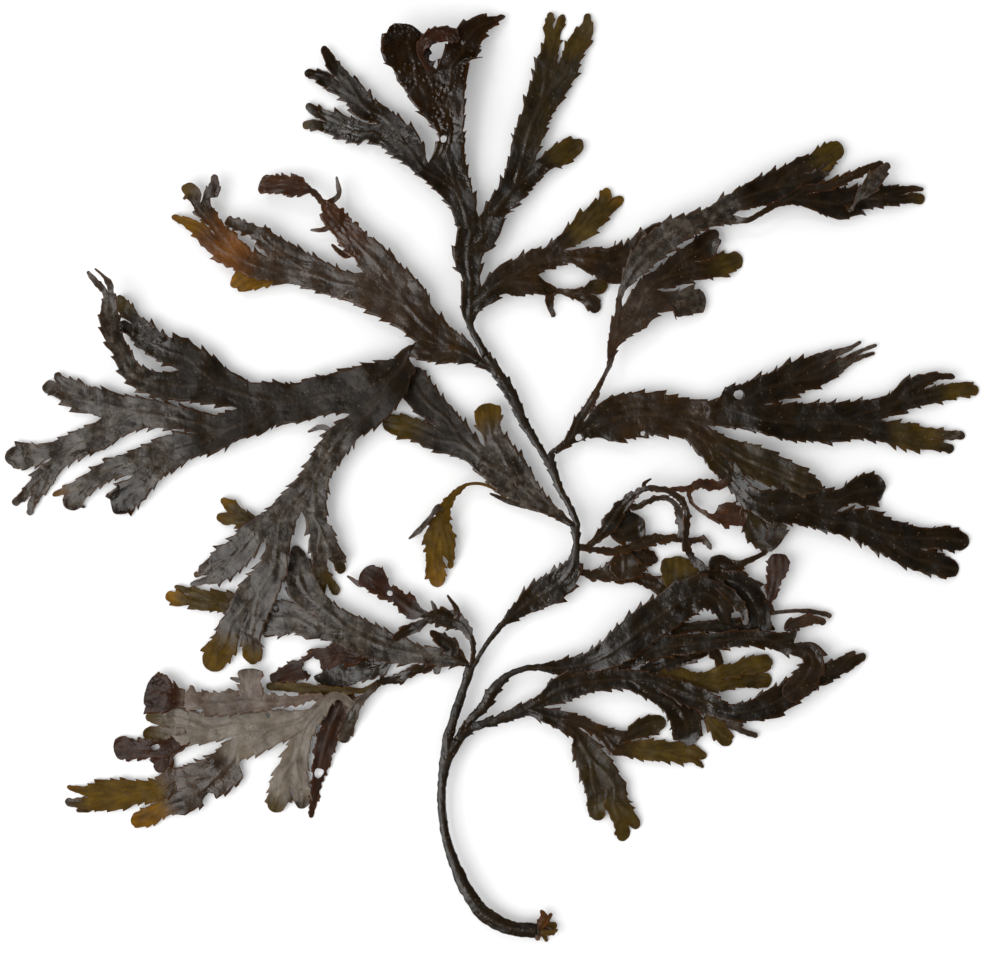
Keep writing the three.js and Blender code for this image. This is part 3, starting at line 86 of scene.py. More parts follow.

# %% [markdown]
# ## The blades
#
# Each blade has a name, what it grows from, how it grows there, its tone, and a few
# stations from its base to its tip: x, y, height, half width and, where it is rolled,
# the roll in degrees. "L" and "R" take the left and right half of a fork, and "on"
# grows out of a midrib. A list of stations, placed one by one like the wires of a
# sculptor's armature, suits a plant better than a rule, because no two forks are alike.

# %% The armature of the frond
BLADES = [
    # ---- the axis: holdfast, stem and winged stem, bottom of the frond to its middle
    ["stem", "", "", "k", [[18, -181.8, 6, 2.9], [8, -180.5, 6, 3.1], [-2, -175.5, 6.5, 3.1],
        [-9.5, -165.5, 7, 2.7], [-14.5, -155, 7, 2.2], [-18, -144, 7, 1.9], [-19.6, -132, 7, 1.8],
        [-19.3, -121, 7, 1.9], [-17.5, -112, 7, 2.8], [-15.2, -105, 7, 4.2]]],
    ["stemUp", "stem", "L", "k", [[-15.5, -99, 7, 1.9], [-12.7, -90, 7, 1.9], [-10, -82, 7, 1.8],
        [-8.2, -76, 7, 2.1]]],
    ["wing", "stemUp", "R", "k", [[-4.5, -71.5, 7, 0.9], [0, -64.8, 7, 1], [4.5, -59.3, 6, 2],
        [11, -53.8, 5.5, 3.9], [18.8, -48.1, 5, 6], [27.2, -42.8, 5.5, 6.3], [31.9, -37.5, 7, 4.6],
        [33.5, -31, 8, 2.3], [34, -25, 8.5, 2.1], [33.5, -19.5, 8.5, 2.8]]],
    ["axis", "wing", "R", "k", [[31.3, -12, 8, 1.9], [27.5, -5, 7.5, 2.1], [25, 2, 7, 2.3],
        [22.5, 8.5, 7, 3.3]]],
    ["trunk", "axis", "L", "k", [[17, 15, 7, 2.3], [12.5, 22.5, 7, 2.6], [9, 30.5, 7, 2.9],
        [5, 37.5, 7, 3], [1, 43, 7, 3.1], [-3.5, 47, 7, 4.4]]],
    ["neck", "trunk", "R", "k", [[-5.2, 54, 7.5, 2.2], [-8.2, 60, 8, 2.2], [-8.5, 65, 8, 3.8],
        [-3.9, 75.6, 8, 9.2]]],
    # ---- crown and spire, at the top
    ["spine", "neck", "L", "k", [[-9.2, 84.5, 8, 5.8], [-8.7, 91, 8, 6.7], [-5.2, 97.3, 8, 9.2],
        [-4.8, 103.3, 8, 10.8]]],
    ["crown", "spine", "L", "k", [[-12, 110, 8, 6.2], [-16.5, 119, 9, 8.5], [-21, 127, 10, 12.3]]],
    ["crownWest", "crown", "L", "k", [[-33, 130.7, 9, 6.9], [-39.5, 136.6, 7, 7.4],
        [-45.2, 140.6, 6, 8.2]]],
    ["crownWestLow", "crownWest", "L", "k", [[-51.5, 137, 5, 5], [-59, 139.6, 3, 5.4],
        [-66, 142, 2, 5]]],
    ["crownWestLowA", "crownWestLow", "L", "o", [[-71.5, 141, 2, 2.2], [-75.5, 140.3, 1, 1.2]]],
    ["crownWestLowB", "crownWestLow", "R", "k", [[-70.5, 146.5, 2, 2.2], [-74, 149, 3, 1.2]]],
    ["crownWestTop", "crownWest", "R", "k", [[-49.8, 147, 6, 5.5], [-55, 153, 5, 5.4],
        [-60.6, 157.8, 4, 5.6]]],
    ["crownWestTopA", "crownWestTop", "L", "k", [[-68, 159.8, 3, 3.2], [-74.7, 162, 2, 1.5]]],
    ["crownWestTopB", "crownWestTop", "R", "k", [[-64, 165.5, 4, 2.7], [-67.2, 172, 5, 1.1]]],
    ["crownEast", "crown", "R", "c", [[-16, 135.5, 11, 6.3], [-18, 144, 13, 8.6],
        [-20.7, 152, 14, 11.9], [-22.8, 160, 14, 15]]],
    ["crownFlap", "crownEast", "L", "c", [[-30.5, 164, 15, 9.5, 5], [-32.5, 170, 16, 10.5, 12],
        [-33, 175, 17, 7.5, 20], [-32.5, 179, 16, 3, 20]]],
    ["crownPoint", "crownEast", "R", "c", [[-12, 168, 12, 7.2], [-9.3, 174.3, 10, 6.5],
        [-4.6, 179.7, 7, 4.6], [0.3, 181.9, 5, 2.9], [5.6, 184.2, 3, 0.8]]],
    ["crownFold", "crownEast", "on", "m", [[-28, 168.5, 17, 2.2], [-24, 173.5, 17.5, 3.6],
        [-17.5, 175.3, 15, 3.2], [-12.5, 174, 12, 2.4]]],
    ["spire", "spine", "R", "k", [[3.4, 108, 7, 5.3], [8.5, 114, 7, 6.2], [12.6, 121, 6, 7.8],
        [16, 127, 6, 9.4]]],
    ["spireSide", "spire", "R", "o", [[27, 128.1, 4, 4.6], [32.7, 131.7, 3, 3.6],
        [36.5, 134.7, 2, 1.6]]],
    ["spireTop", "spire", "L", "d", [[15, 136, 6, 6.7], [17.5, 143, 6, 6.3], [20.4, 150, 5, 7.3],
        [23.7, 157, 4, 8.2], [26.6, 164.5, 4, 9.4]]],
    ["spireTipA", "spireTop", "L", "o", [[24, 171.5, 3, 4], [25, 178.5, 2, 4]]],
    ["spireTipAL", "spireTipA", "L", "o", [[23.8, 183, 2, 1.9], [23.8, 186, 2, 1]]],
    ["spireTipAR", "spireTipA", "R", "o", [[28.3, 182.5, 2, 1.9], [29.3, 185, 1, 1]]],
    ["spireTipB", "spireTop", "R", "o", [[33.5, 171, 3, 4.7], [36.7, 176.5, 2, 3.8],
        [38.7, 181.5, 2, 2.2], [38.5, 185.6, 1, 1]]],
    # ---- east arm, right of the neck
    ["eastArm", "neck", "R", "b", [[6, 77.8, 8, 7.3], [12, 79.6, 7, 8.2], [18.5, 81.6, 6, 9.7]]],
    ["eastSpur", "eastArm", "R", "b", [[22.5, 74.5, 5, 3.2], [27.5, 74, 4, 1.5], [33, 73, 4, 3],
        [37, 72.5, 4, 4.2]]],
    ["eastSpurA", "eastSpur", "L", "o", [[41.5, 75.6, 3, 3.1], [46.8, 76.6, 2, 1.4]]],
    ["eastSpurB", "eastSpur", "R", "g", [[40, 69.6, 3, 3.1], [43.1, 65.9, 2, 2]]],
    ["eastStub", "eastSpur", "on", "b", [[23.4, 69, 4, 2], [25.4, 63.8, 2, 1.2]]],
    ["eastFork", "eastArm", "L", "b", [[23, 87, 6, 5.2], [29, 90.2, 6, 6.3]]],
    ["eastLeaf", "eastFork", "L", "o", [[34, 97, 5, 5], [40, 102.5, 4, 5.4],
        [45.5, 107.8, 3, 4.5]]],
    ["eastLeafA", "eastLeaf", "L", "a", [[46, 112.3, 3, 2.5], [46.8, 115.5, 2, 1.3]]],
    ["eastLeafB", "eastLeaf", "R", "a", [[50.3, 109.8, 2, 2.3], [53.2, 111.5, 1, 1.2]]],
    ["eastBlade", "eastFork", "R", "b", [[36, 87, 6, 4.8], [42.5, 85.8, 6, 6.3], [49, 84.3, 5, 8.3],
        [56, 86.8, 4, 7.3], [62, 92.3, 4, 5.9], [67.5, 98, 4, 3.5], [71.3, 100.8, 4, 1.1]]],
    # ---- rust arm, left of the neck
    ["rustArm", "trunk", "L", "b", [[-10, 49, 7, 5.3], [-16, 51.3, 7, 7.4], [-22.3, 53.9, 7, 9.6],
        [-28, 57.2, 7, 11.6]]],
    ["rustMid", "rustArm", "R", "w", [[-34, 68.5, 8, 10.6], [-43, 75.3, 8, 12.1],
        [-51, 81.3, 8, 13.8]]],
    ["rustUp", "rustMid", "R", "r", [[-53, 92.5, 8, 6.1], [-58.6, 98.5, 8, 5.6],
        [-63.5, 104.3, 9, 4.6], [-67.3, 109.3, 10, 2], [-70.8, 113.2, 11, 1.7],
        [-75.5, 114.6, 10, 4.2, 15], [-84.5, 115.9, 8, 4.4, 25], [-92.5, 116.8, 6, 4, 20]]],
    ["rustSpike", "rustUp", "on", "b", [[-60.8, 112, 9, 1.3], [-61.5, 119.3, 10, 0.4]]],
    ["rustHookA", "rustUp", "on", "r", [[-66.5, 98.5, 7, 1.2], [-72.2, 98.3, 6, 0.4]]],
    ["rustHookB", "rustUp", "on", "r", [[-57.5, 88, 7, 1.8], [-63.8, 92.6, 6, 0.5]]],
    ["rustOut", "rustMid", "L", "w", [[-62, 77.3, 7, 6.6], [-70, 80.5, 7, 7], [-78, 83.5, 6, 7.9],
        [-89, 87.3, 6, 10]]],
    ["rustEnd", "rustOut", "L", "x", [[-97, 85.5, 6, 5.8], [-104, 90, 7, 6.5], [-110, 96, 7, 6.2]]],
    ["rustEndA", "rustEnd", "L", "a", [[-116, 98, 6, 3.9], [-122, 101.5, 4, 2.6],
        [-128, 104.2, 2, 0.9]]],
    ["rustEndB", "rustEnd", "R", "b", [[-112.5, 103.5, 8, 4], [-116, 108.8, 8, 4]]],
    ["rustEndBL", "rustEndB", "L", "e", [[-119.2, 112.9, 7, 3.2], [-123.6, 115.6, 6, 1.4]]],
    ["rustEndBR", "rustEndB", "R", "m", [[-110.6, 114.3, 9, 2.6], [-110, 120.2, 10, 1]]],
    ["rustFlap", "rustOut", "R", "b", [[-94, 97.3, 8, 3.4], [-100, 99.7, 9, 2.4],
        [-106, 101.4, 9, 2.2]]],
    ["amberSpur", "rustOut", "on", "a", [[-92, 81.5, 5, 6], [-98, 79.5, 5, 5],
        [-104.2, 76.2, 4, 1]]],
    # ---- left fan: one broad grey blade that forks again and again
    ["leftFan", "rustArm", "L", "n", [[-34.5, 44.5, 8, 5.6, -20], [-40.5, 38.5, 9, 9.5],
        [-48, 33.2, 9, 12.8], [-58, 28.5, 8, 14.6]]],
    ["fanWest", "leftFan", "R", "n", [[-67, 32.3, 7, 8.6], [-77, 29.3, 6, 8.4], [-88, 28.8, 6, 9.6],
        [-96, 27, 6, 11.8], [-101.5, 27, 6, 14]]],
    ["fanHigh", "fanWest", "R", "n", [[-109, 36.3, 6, 9], [-117, 39.4, 7, 11.2],
        [-125, 42.3, 7, 13.2]]],
    ["fanHighA", "fanHigh", "R", "k", [[-131, 50.8, 7, 6.1], [-137, 55, 6, 5.8],
        [-143, 60.4, 5, 5.2]]],
    ["fanHighTip", "fanHighA", "R", "o", [[-146.5, 67, 4, 3.1], [-149.5, 72.3, 3, 1.3]]],
    ["fanHighNub", "fanHighA", "L", "k", [[-147.3, 60, 5, 2.6], [-150.5, 58, 4, 1.3]]],
    ["fanHighB", "fanHigh", "L", "g", [[-131.5, 36.8, 7, 6.2], [-138, 38.2, 8, 5.5],
        [-143.2, 41.7, 9, 4.8], [-146.9, 49.2, 12, 4.2, 20], [-150.2, 56.3, 15, 4.4, 35],
        [-151.2, 63, 17, 4.7, 25], [-150.8, 69, 18, 3.4], [-151.4, 73, 18, 3]]],
    ["curlTipA", "fanHighB", "L", "g", [[-155.6, 76, 18, 1.8], [-159.8, 81, 17, 0.7]]],
    ["curlTipB", "fanHighB", "R", "g", [[-150.6, 75.4, 19, 1.6], [-153, 78.8, 19, 0.7],
        [-156.6, 82, 19, 0.4]]],
    ["fanOlive", "fanHighB", "on", "o", [[-145.3, 46.5, 6, 2.3], [-147, 50.5, 6, 2.6],
        [-149, 55.8, 5, 1]]],
    ["fanLow", "fanWest", "L", "n", [[-110, 17.5, 5, 8.1], [-118, 17, 5, 10]]],
    ["fanMid", "fanLow", "R", "g", [[-127, 23.5, 5, 5.4], [-137, 25, 5, 6.5], [-147, 24.6, 4, 8.9],
        [-156, 23.3, 4, 13]]],
    ["fanMidTop", "fanMid", "R", "g", [[-162, 30.5, 3, 6.1], [-168, 33.3, 3, 6],
        [-173, 36, 3, 4.8]]],
    ["fanMidTopA", "fanMidTop", "L", "g", [[-176.5, 35.3, 2, 2.9], [-180, 35.5, 2, 1.6]]],
    ["fanMidTopB", "fanMidTop", "R", "g", [[-173.5, 39.2, 3, 2], [-173, 41.6, 3, 1]]],
    ["fanMidLow", "fanMid", "L", "g", [[-162, 14, 4, 6.3], [-169, 11, 3, 6], [-176, 7, 3, 6.7]]],
    ["fanMidLowA", "fanMidLow", "R", "g", [[-183, 8.7, 2, 4.8], [-189, 7.6, 2, 4.6],
        [-195, 6.8, 1, 2.4]]],
    ["fanMidLowB", "fanMidLow", "L", "g", [[-178.1, 0.5, 3, 4.9], [-182.5, -5.2, 2, 4.5]]],
    ["fanMidLowBL", "fanMidLowB", "L", "g", [[-184, -11, 2, 2], [-185.3, -15.8, 1, 1]]],
    ["fanMidLowBR", "fanMidLowB", "R", "g", [[-188.3, -8.8, 2, 2.1], [-192, -11.3, 1, 1.2]]],
    ["fanSouth", "fanLow", "L", "g", [[-126, 10.5, 4, 7.4], [-135, 5.9, 4, 8.1],
        [-143.3, 0.3, 4, 10.2]]],
    ["fanSouthA", "fanSouth", "R", "g", [[-152, 2.6, 3, 4.8], [-159, -1.5, 3, 4.4],
        [-165.5, -6, 3, 5]]],
    ["fanSouthAL", "fanSouthA", "L", "g", [[-167, -10, 2, 3.9], [-167.7, -13.8, 1, 2.6]]],
    ["fanSouthAR", "fanSouthA", "R", "a", [[-170.8, -5.6, 2, 2.3], [-176, -7.8, 1, 0.8]]],
    ["fanSouthB", "fanSouth", "L", "k", [[-145, -7, 3, 5.6], [-148.7, -10.9, 2, 4.7],
        [-151.6, -14.6, 1, 2.2]]],
    # ---- down fan, hanging from the left fan, grey on its face
    ["downFan", "leftFan", "L", "g", [[-61, 14, 8, 6.4], [-65.8, 7, 8, 6.2], [-70, -0.6, 8, 6.2],
        [-72.9, -7.3, 8, 8.8], [-75.7, -14.2, 8, 12]]],
    ["downSpur", "downFan", "on", "k", [[-67.5, 19.6, 5, 1.2], [-73.3, 17.6, 4, 0.4]]],
    ["downEast", "downFan", "L", "g", [[-68.3, -20, 8, 5.5], [-67, -27, 7, 6.1],
        [-65.4, -33, 6, 6.7]]],
    ["downEastA", "downEast", "L", "o", [[-61, -35, 4, 2.9], [-59.5, -39, 2, 1.5]]],
    ["downEastB", "downEast", "R", "o", [[-68.3, -38.5, 4, 3.8], [-65.7, -43, 3, 3.9]]],
    ["downEastBL", "downEastB", "L", "o", [[-63, -45, 2, 2.1], [-62, -47.8, 1, 1.3]]],
    ["downEastBR", "downEastB", "R", "o", [[-67.5, -45, 2, 1.8], [-68.3, -47.5, 1, 1]]],
    ["downWest", "downFan", "R", "g", [[-85, -18.6, 8, 8], [-90, -25.6, 8, 11.4]]],
    ["downWestA", "downWest", "R", "g", [[-101, -30.3, 6, 6.4], [-107.4, -35.5, 4, 6.8],
        [-113, -39.9, 3, 5]]],
    ["downWestAL", "downWestA", "L", "k", [[-117.5, -42.7, 2, 1.6], [-120.7, -43.7, 1, 0.8]]],
    ["downWestAR", "downWestA", "R", "a", [[-117, -39.5, 2, 1.6], [-119.2, -39.3, 2, 1]]],
    ["oliveFork", "downWest", "on", "o", [[-95, -18.3, 5, 3], [-99, -17.2, 4, 4],
        [-102, -15.8, 3, 4.5]]],
    ["oliveForkA", "oliveFork", "R", "a", [[-104.3, -12, 3, 2.7], [-108.4, -9.4, 2, 1.4]]],
    ["oliveForkB", "oliveFork", "L", "a", [[-105.5, -17.3, 2, 2.6], [-110, -16, 1, 1.5]]],
    ["downSouth", "downWest", "L", "g", [[-86, -33.5, 8, 6], [-88.7, -40.3, 7, 6.9],
        [-93.8, -47.7, 6, 8.6], [-97.2, -55, 5, 8.7], [-100.2, -61.5, 4, 9.5]]],
    ["downSouthA", "downSouth", "L", "e", [[-95.8, -67, 3, 3.9], [-95.7, -71, 2, 3.8],
        [-96, -75.5, 1, 2]]],
    ["downSouthB", "downSouth", "R", "e", [[-107, -67.5, 3, 5.5], [-110, -72, 2, 5],
        [-113, -78, 1, 2.7]]],
    ["downOlive", "downSouth", "on", "o", [[-106, -50.8, 3, 4.8], [-114, -49.8, 3, 4.7],
        [-120, -48.4, 2, 4.4]]],
    ["downOliveA", "downOlive", "R", "o", [[-123, -45.5, 2, 1.6], [-127, -44.2, 2, 0.7]]],
    ["downOliveB", "downOlive", "L", "a", [[-125, -49.3, 2, 2.7], [-130.5, -47.6, 1, 1.8]]],
    # ---- heart blade in the middle, with the little amber leaf hanging from it
    ["heart", "wing", "L", "g", [[27.5, -15.8, 8, 2.6], [22, -12.2, 8, 3.7], [15.5, -7.3, 8, 6],
        [9, -1, 8, 8.6], [3, 5.5, 8, 9.5], [-2.5, 11.5, 8, 9.8]]],
    ["heartTip", "heart", "R", "e", [[0, 18.5, 8, 4.4], [-1, 23, 8, 4.9], [-1.6, 29, 7, 3.6]]],
    ["heartWest", "heart", "L", "n", [[-13, 14, 6, 7.5], [-21, 19.5, 5, 10.4]]],
    ["heartWestA", "heartWest", "L", "o", [[-29, 18, 3, 5], [-36, 20, 2, 4.4],
        [-43.5, 21.6, 1, 2]]],
    ["heartWestB", "heartWest", "R", "n", [[-25, 29, 4, 6.6], [-30, 36, 3, 5.6],
        [-32, 43.5, 2, 3.5]]],
    ["heartStrand", "wing", "on", "k", [[20, -13.6, 6, 1.3], [10, -11.2, 5, 1], [4, -8.9, 5, 0.9],
        [-0.5, -7, 6, 0.4]]],
    ["stalk", "heart", "on", "e", [[6, -7.5, 7, 1.2], [1, -4.8, 8, 0.7], [-5, -3, 8, 0.6],
        [-10.3, -3.7, 8, 0.7], [-14.5, -7, 8, 1.8], [-18, -11.5, 8, 3.2], [-19.5, -17, 7, 4.2],
        [-20.3, -22, 6, 6.3], [-20.4, -27.5, 5, 6.5], [-20.7, -31.5, 4, 6.2]]],
    ["stalkLeafA", "stalk", "R", "a", [[-22.3, -36.5, 3, 3.8], [-21.8, -40.5, 2, 3.4],
        [-21.4, -44.6, 1, 2]]],
    ["stalkLeafB", "stalk", "L", "a", [[-16.5, -34, 3, 2], [-16.3, -37.2, 2, 0.9]]],
    ["stalkFold", "stalk", "on", "g", [[-20.5, -12.5, 10, 1.9, 40], [-25, -17.5, 9, 1.7, 40],
        [-29, -22, 6, 1.1], [-33, -25.2, 3, 0.4]]],
    # ---- right arm: reach, its two hands and the climbing branch
    ["reach", "axis", "R", "k", [[28.5, 11.8, 7, 2.1], [33, 16, 7, 3.7], [38, 20, 7, 6.6]]],
    ["climb", "reach", "L", "w", [[40.7, 30.5, 8, 2.5], [43.9, 37.5, 9, 1.6], [46.9, 44, 10, 2.1],
        [48.2, 51, 10, 2.7], [51.3, 57.8, 10, 5.1], [56.4, 64.3, 9, 8.3]]],
    ["climbNorth", "climb", "L", "g", [[51.3, 71, 9, 1.6], [54.1, 77.5, 10, 3.2],
        [59.3, 85.3, 11, 5.3], [65.8, 91.9, 11, 6.3], [72.8, 96.8, 11, 6], [80.3, 100.5, 10, 5],
        [88.2, 103.4, 10, 4.8], [95.6, 106.2, 9, 7]]],
    ["northHigh", "climbNorth", "L", "k", [[102.3, 111.4, 9, 5.6], [110.4, 114.3, 8, 6.3],
        [118.4, 117.8, 7, 6.7], [124.8, 120.9, 6, 7]]],
    ["northHighA", "northHigh", "L", "o", [[130.3, 125.5, 5, 4.3], [136, 129.4, 4, 4],
        [140.6, 132.7, 3, 2.6]]],
    ["northHighB", "northHigh", "R", "g", [[130, 119.6, 6, 3.2], [133.7, 122.6, 5, 2.5],
        [137.4, 125.8, 4, 1.2]]],
    ["northLow", "climbNorth", "R", "k", [[102, 101.8, 10, 1.6, 30], [107, 104.3, 10, 1.1, 50],
        [112, 107.3, 9, 1.6, 30], [119, 110.3, 8, 3.2], [126.5, 111.8, 7, 5.6]]],
    ["northTwig", "northLow", "L", "b", [[134, 115.8, 7, 2.8], [142, 119, 6, 2.5],
        [150, 122.7, 5, 2], [157, 125.4, 4, 1.2]]],
    ["northFar", "northLow", "R", "k", [[133, 109.4, 6, 5.8], [140, 108.9, 5, 7],
        [148, 111, 4, 5.3], [157, 112, 4, 4.9], [165, 112.5, 3, 4.4]]],
    ["northFarA", "northFar", "L", "b", [[169, 115.3, 2, 1.4], [173.5, 114.9, 2, 0.8]]],
    ["northFarB", "northFar", "R", "o", [[170, 111.4, 2, 2.3], [174, 111, 1, 1.8]]],
    ["northFold", "northFar", "on", "g", [[143.6, 106.2, 8, 1.8, 30], [146.7, 110.8, 9, 3.4, 30],
        [150.7, 115.5, 9, 3.6, 20], [155, 120.3, 8, 2.7], [159, 124.9, 7, 1.1]]],
    ["climbEast", "climb", "R", "w", [[61.6, 69.4, 8, 7.6], [66.8, 73.8, 7, 9]]],
    ["climbEastA", "climbEast", "R", "g", [[73.7, 68.7, 6, 5.2], [79.7, 69.8, 5, 4.7],
        [86.2, 70.3, 3, 3.4]]],
    ["climbEastB", "climbEast", "L", "b", [[71.5, 80.3, 6, 5.9], [77, 83.5, 5, 7.2],
        [81.5, 85.7, 5, 7.8]]],
    ["climbEastBL", "climbEastB", "L", "k", [[85.3, 91.6, 4, 5], [88.2, 95.2, 4, 3.6],
        [90.5, 98.4, 4, 1.4]]],
    ["climbEastBR", "climbEastB", "R", "o", [[88.3, 83.2, 3, 4.4], [94.6, 85.2, 2, 4],
        [101, 87.3, 1, 2.2]]],
    ["reachEast", "reach", "R", "b", [[45.5, 21.1, 7, 8.7], [54, 23.8, 6, 9.8], [63, 24.6, 6, 9.3],
        [72, 24, 6, 8.7], [79.7, 22.7, 6, 9], [86.4, 20.2, 6, 12]]],
    ["highHand", "reachEast", "L", "k", [[93.2, 27.3, 6, 8.6], [101, 27.7, 6, 9.7],
        [109, 28.4, 6, 12.8]]],
    ["highFar", "highHand", "L", "k", [[116.3, 36.8, 5, 6.9], [124.3, 40.2, 5, 7.1],
        [132.3, 42.8, 4, 6.7]]],
    ["highFarA", "highFar", "L", "g", [[138.5, 49.3, 4, 2.3], [143, 50.8, 3, 1],
        [148.3, 53.9, 3, 0.7]]],
    ["highFarB", "highFar", "R", "g", [[138, 43.2, 3, 3.9], [143.5, 46.8, 3, 2.3]]],
    ["highFarBL", "highFarB", "L", "g", [[149, 50.5, 2, 0.9], [154.7, 52.6, 2, 0.7]]],
    ["highFarBR", "highFarB", "R", "g", [[148.5, 47.8, 2, 0.9], [154, 49.4, 1, 0.8]]],
    ["palm", "highHand", "R", "k", [[118, 21.7, 5, 8], [128, 21.5, 5, 8.2], [138, 21.5, 5, 8.7],
        [148, 22.5, 4, 8.2], [156, 22.5, 4, 9.4]]],
    ["palmHigh", "palm", "L", "k", [[161.5, 28.8, 4, 5.3], [167, 32.3, 4, 6.3], [173, 34.8, 4, 7]]],
    ["palmHighA", "palmHigh", "L", "k", [[179, 40, 4, 2.3], [185.8, 39.5, 4, 0.8]]],
    ["palmHighB", "palmHigh", "R", "o", [[180.5, 33.2, 3, 4], [188, 34.5, 2, 3.1],
        [195.7, 34.4, 1, 1.8]]],
    ["palmLow", "palm", "R", "o", [[162.5, 16.8, 3, 5.4], [168.5, 15.8, 3, 5.9],
        [175, 14.7, 2, 4.9]]],
    ["palmLowA", "palmLow", "L", "g", [[183, 16.3, 2, 2.3], [190.2, 16.2, 1, 1.6]]],
    ["palmLowB", "palmLow", "R", "k", [[180, 12, 2, 2.2], [185.7, 10.5, 1, 1.5]]],
    ["lowHand", "reachEast", "R", "d", [[91.6, 9.3, 6, 7.8]]],
    ["flap", "lowHand", "L", "d", [[100, 8.2, 6, 6.4], [108, 4.5, 7, 7.2], [116, 1, 7, 6.6],
        [124, -2.3, 7, 4.8], [132, -5, 7, 2]]],
    ["twist", "lowHand", "R", "k", [[95, 1.7, 6, 5.3], [99.5, -4.5, 7, 4.6, 25],
        [104.5, -9.5, 8, 5.4, 10], [112, -12, 8, 7], [121, -12.2, 7, 7.6], [130, -13, 6, 8.6],
        [138, -14.2, 6, 9.5]]],
    ["farHigh", "twist", "L", "k", [[143.5, -7, 5, 4.7], [149.5, -5.6, 4, 5.9], [154.6, -5, 3, 4.9],
        [158.2, -4.8, 2, 2.8]]],
    ["farLow", "twist", "R", "k", [[148, -19.5, 5, 7.1], [156, -23, 4, 7.9], [164, -26.5, 4, 8.3],
        [172, -29.2, 3, 9.5]]],
    ["farLowA", "farLow", "L", "k", [[179.5, -24.8, 3, 4.8], [186, -25.5, 2, 4.3],
        [191.7, -27.4, 1, 2.2]]],
    ["farLowB", "farLow", "R", "k", [[178, -35, 2, 4.7], [183.5, -36.8, 2, 3.8],
        [187.8, -37, 1, 2.2]]],
    ["drop", "twist", "on", "d", [[103, -14, 6, 3.6], [105.2, -20.3, 5, 4.8], [108.2, -26, 4, 3.6],
        [110.4, -31, 3, 1]]],
    ["dropCurl", "drop", "on", "g", [[111.6, -27.5, 5, 2.8], [113.3, -23.5, 7, 4, 25],
        [114.4, -18.5, 10, 3.5, 25]]],
    # ---- the loops left of the drop
    ["archLink", "twist", "on", "r", [[91, -3.7, 6, 2.5], [84, -3.3, 7, 2.5], [78, -5, 8, 1.4],
        [71.5, -5.2, 9, 0.9]]],
    ["arch", "wing", "on", "k", [[37.8, -28.3, 8, 1.5], [43, -24.5, 8, 2.4], [48, -18.5, 8, 3.9],
        [52, -12.5, 8, 3.3], [57, -7.5, 9, 2.1], [62, -5, 10, 1.2], [68, -5.2, 10, 1],
        [74, -8, 9, 1.7], [78, -13.5, 8, 2], [78.2, -20, 7, 1.9], [77.8, -27, 7, 1.9],
        [81, -33.5, 6, 2], [86.5, -39.5, 6, 2.6]]],
    ["archSpur", "arch", "on", "k", [[61, -3.2, 8, 0.8], [64, -1, 8, 0.3]]],
    ["archInner", "arch", "on", "k", [[57, -12.4, 7, 1.4], [63, -10, 7, 1.8], [70, -8.6, 7, 2],
        [74.6, -12, 6, 2.2], [75.8, -18, 5, 1.7], [76, -25, 5, 1.2]]],
    ["archThorn", "archInner", "on", "k", [[73.7, -13, 5, 1], [73.8, -15.6, 4, 0.4]]],
    ["archLeaf", "arch", "on", "k", [[51, -21.5, 6, 4.2], [56.5, -20, 5, 5.8],
        [61.3, -17.6, 5, 2.2]]],
    ["thread", "archLink", "on", "r", [[80, -10.3, 6, 0.9], [84.5, -14.3, 6, 0.8],
        [88.5, -16.3, 6, 1.6], [92.5, -15.8, 6, 4.4], [97, -15.6, 6, 4], [102.5, -15.5, 6, 3]]],
    ["strap", "wing", "on", "b", [[42, -29.5, 7, 1.9], [50, -30, 6, 2.2], [57, -28.3, 5, 2.9],
        [64, -25.6, 4, 2.8], [71, -25, 3, 2.3], [79, -25.9, 3, 1.6], [85.5, -25.8, 3, 1.6],
        [88.3, -29.5, 3, 0.5]]],
    ["strapWeb", "strap", "on", "b", [[53, -32.5, 5, 4.4], [53.5, -37.5, 4, 5], [54, -41, 3, 2.6]]],
    ["under", "wing", "on", "b", [[40.5, -39.6, 4, 2.4], [48, -38.3, 4, 4.4], [55, -35.9, 4, 5.9],
        [61.5, -32.7, 3, 4.3], [67, -33.8, 2, 1.4]]],
    ["underLow", "under", "on", "b", [[50, -41, 3, 1.9], [58, -40.7, 3, 2.7], [65, -42.9, 3, 3],
        [71, -46, 3, 2.8]]],
    # ---- lower right thicket, from the knee of the stem
    ["knee", "stem", "R", "k", [[-10, -101.3, 7, 3.2], [-6.5, -98.2, 7, 4.3]]],
    ["kneeHigh", "knee", "L", "k", [[-2.5, -91.5, 7, 3], [1, -85.5, 7, 2.9], [6, -80.2, 7, 2.1],
        [13, -77, 7, 1.3], [21, -76.5, 7, 2.4], [30, -76.4, 7, 4.3], [38, -75, 7, 4.8],
        [46, -71.5, 8, 6.2], [54, -66, 9, 7.7], [61, -60.2, 9, 8], [69, -54.8, 9, 7.9],
        [76.5, -49.3, 9, 8.2], [84.8, -46.6, 9, 7], [90, -49.3, 8, 5], [93, -54.5, 7, 3.2],
        [95.4, -59.5, 5, 1.2]]],
    ["olivePlume", "kneeHigh", "on", "o", [[75, -42.5, 5, 5.6], [74.8, -38, 5, 6.1],
        [75, -34.5, 4, 4.7], [75.2, -32, 3, 2.7]]],
    ["middle", "kneeHigh", "on", "k", [[50, -74, 7, 4], [60, -71, 7, 4.6], [70, -68, 7, 4.8],
        [80, -67, 7, 4.7], [90, -66, 7, 4.1], [100, -64.8, 7, 4], [110, -65.3, 7, 4.1],
        [116, -66.5, 6, 4.6], [121, -66.8, 6, 5.6]]],
    ["middleTip", "middle", "L", "w", [[119.8, -60.8, 6, 3.2], [124.3, -58.3, 5, 2.6],
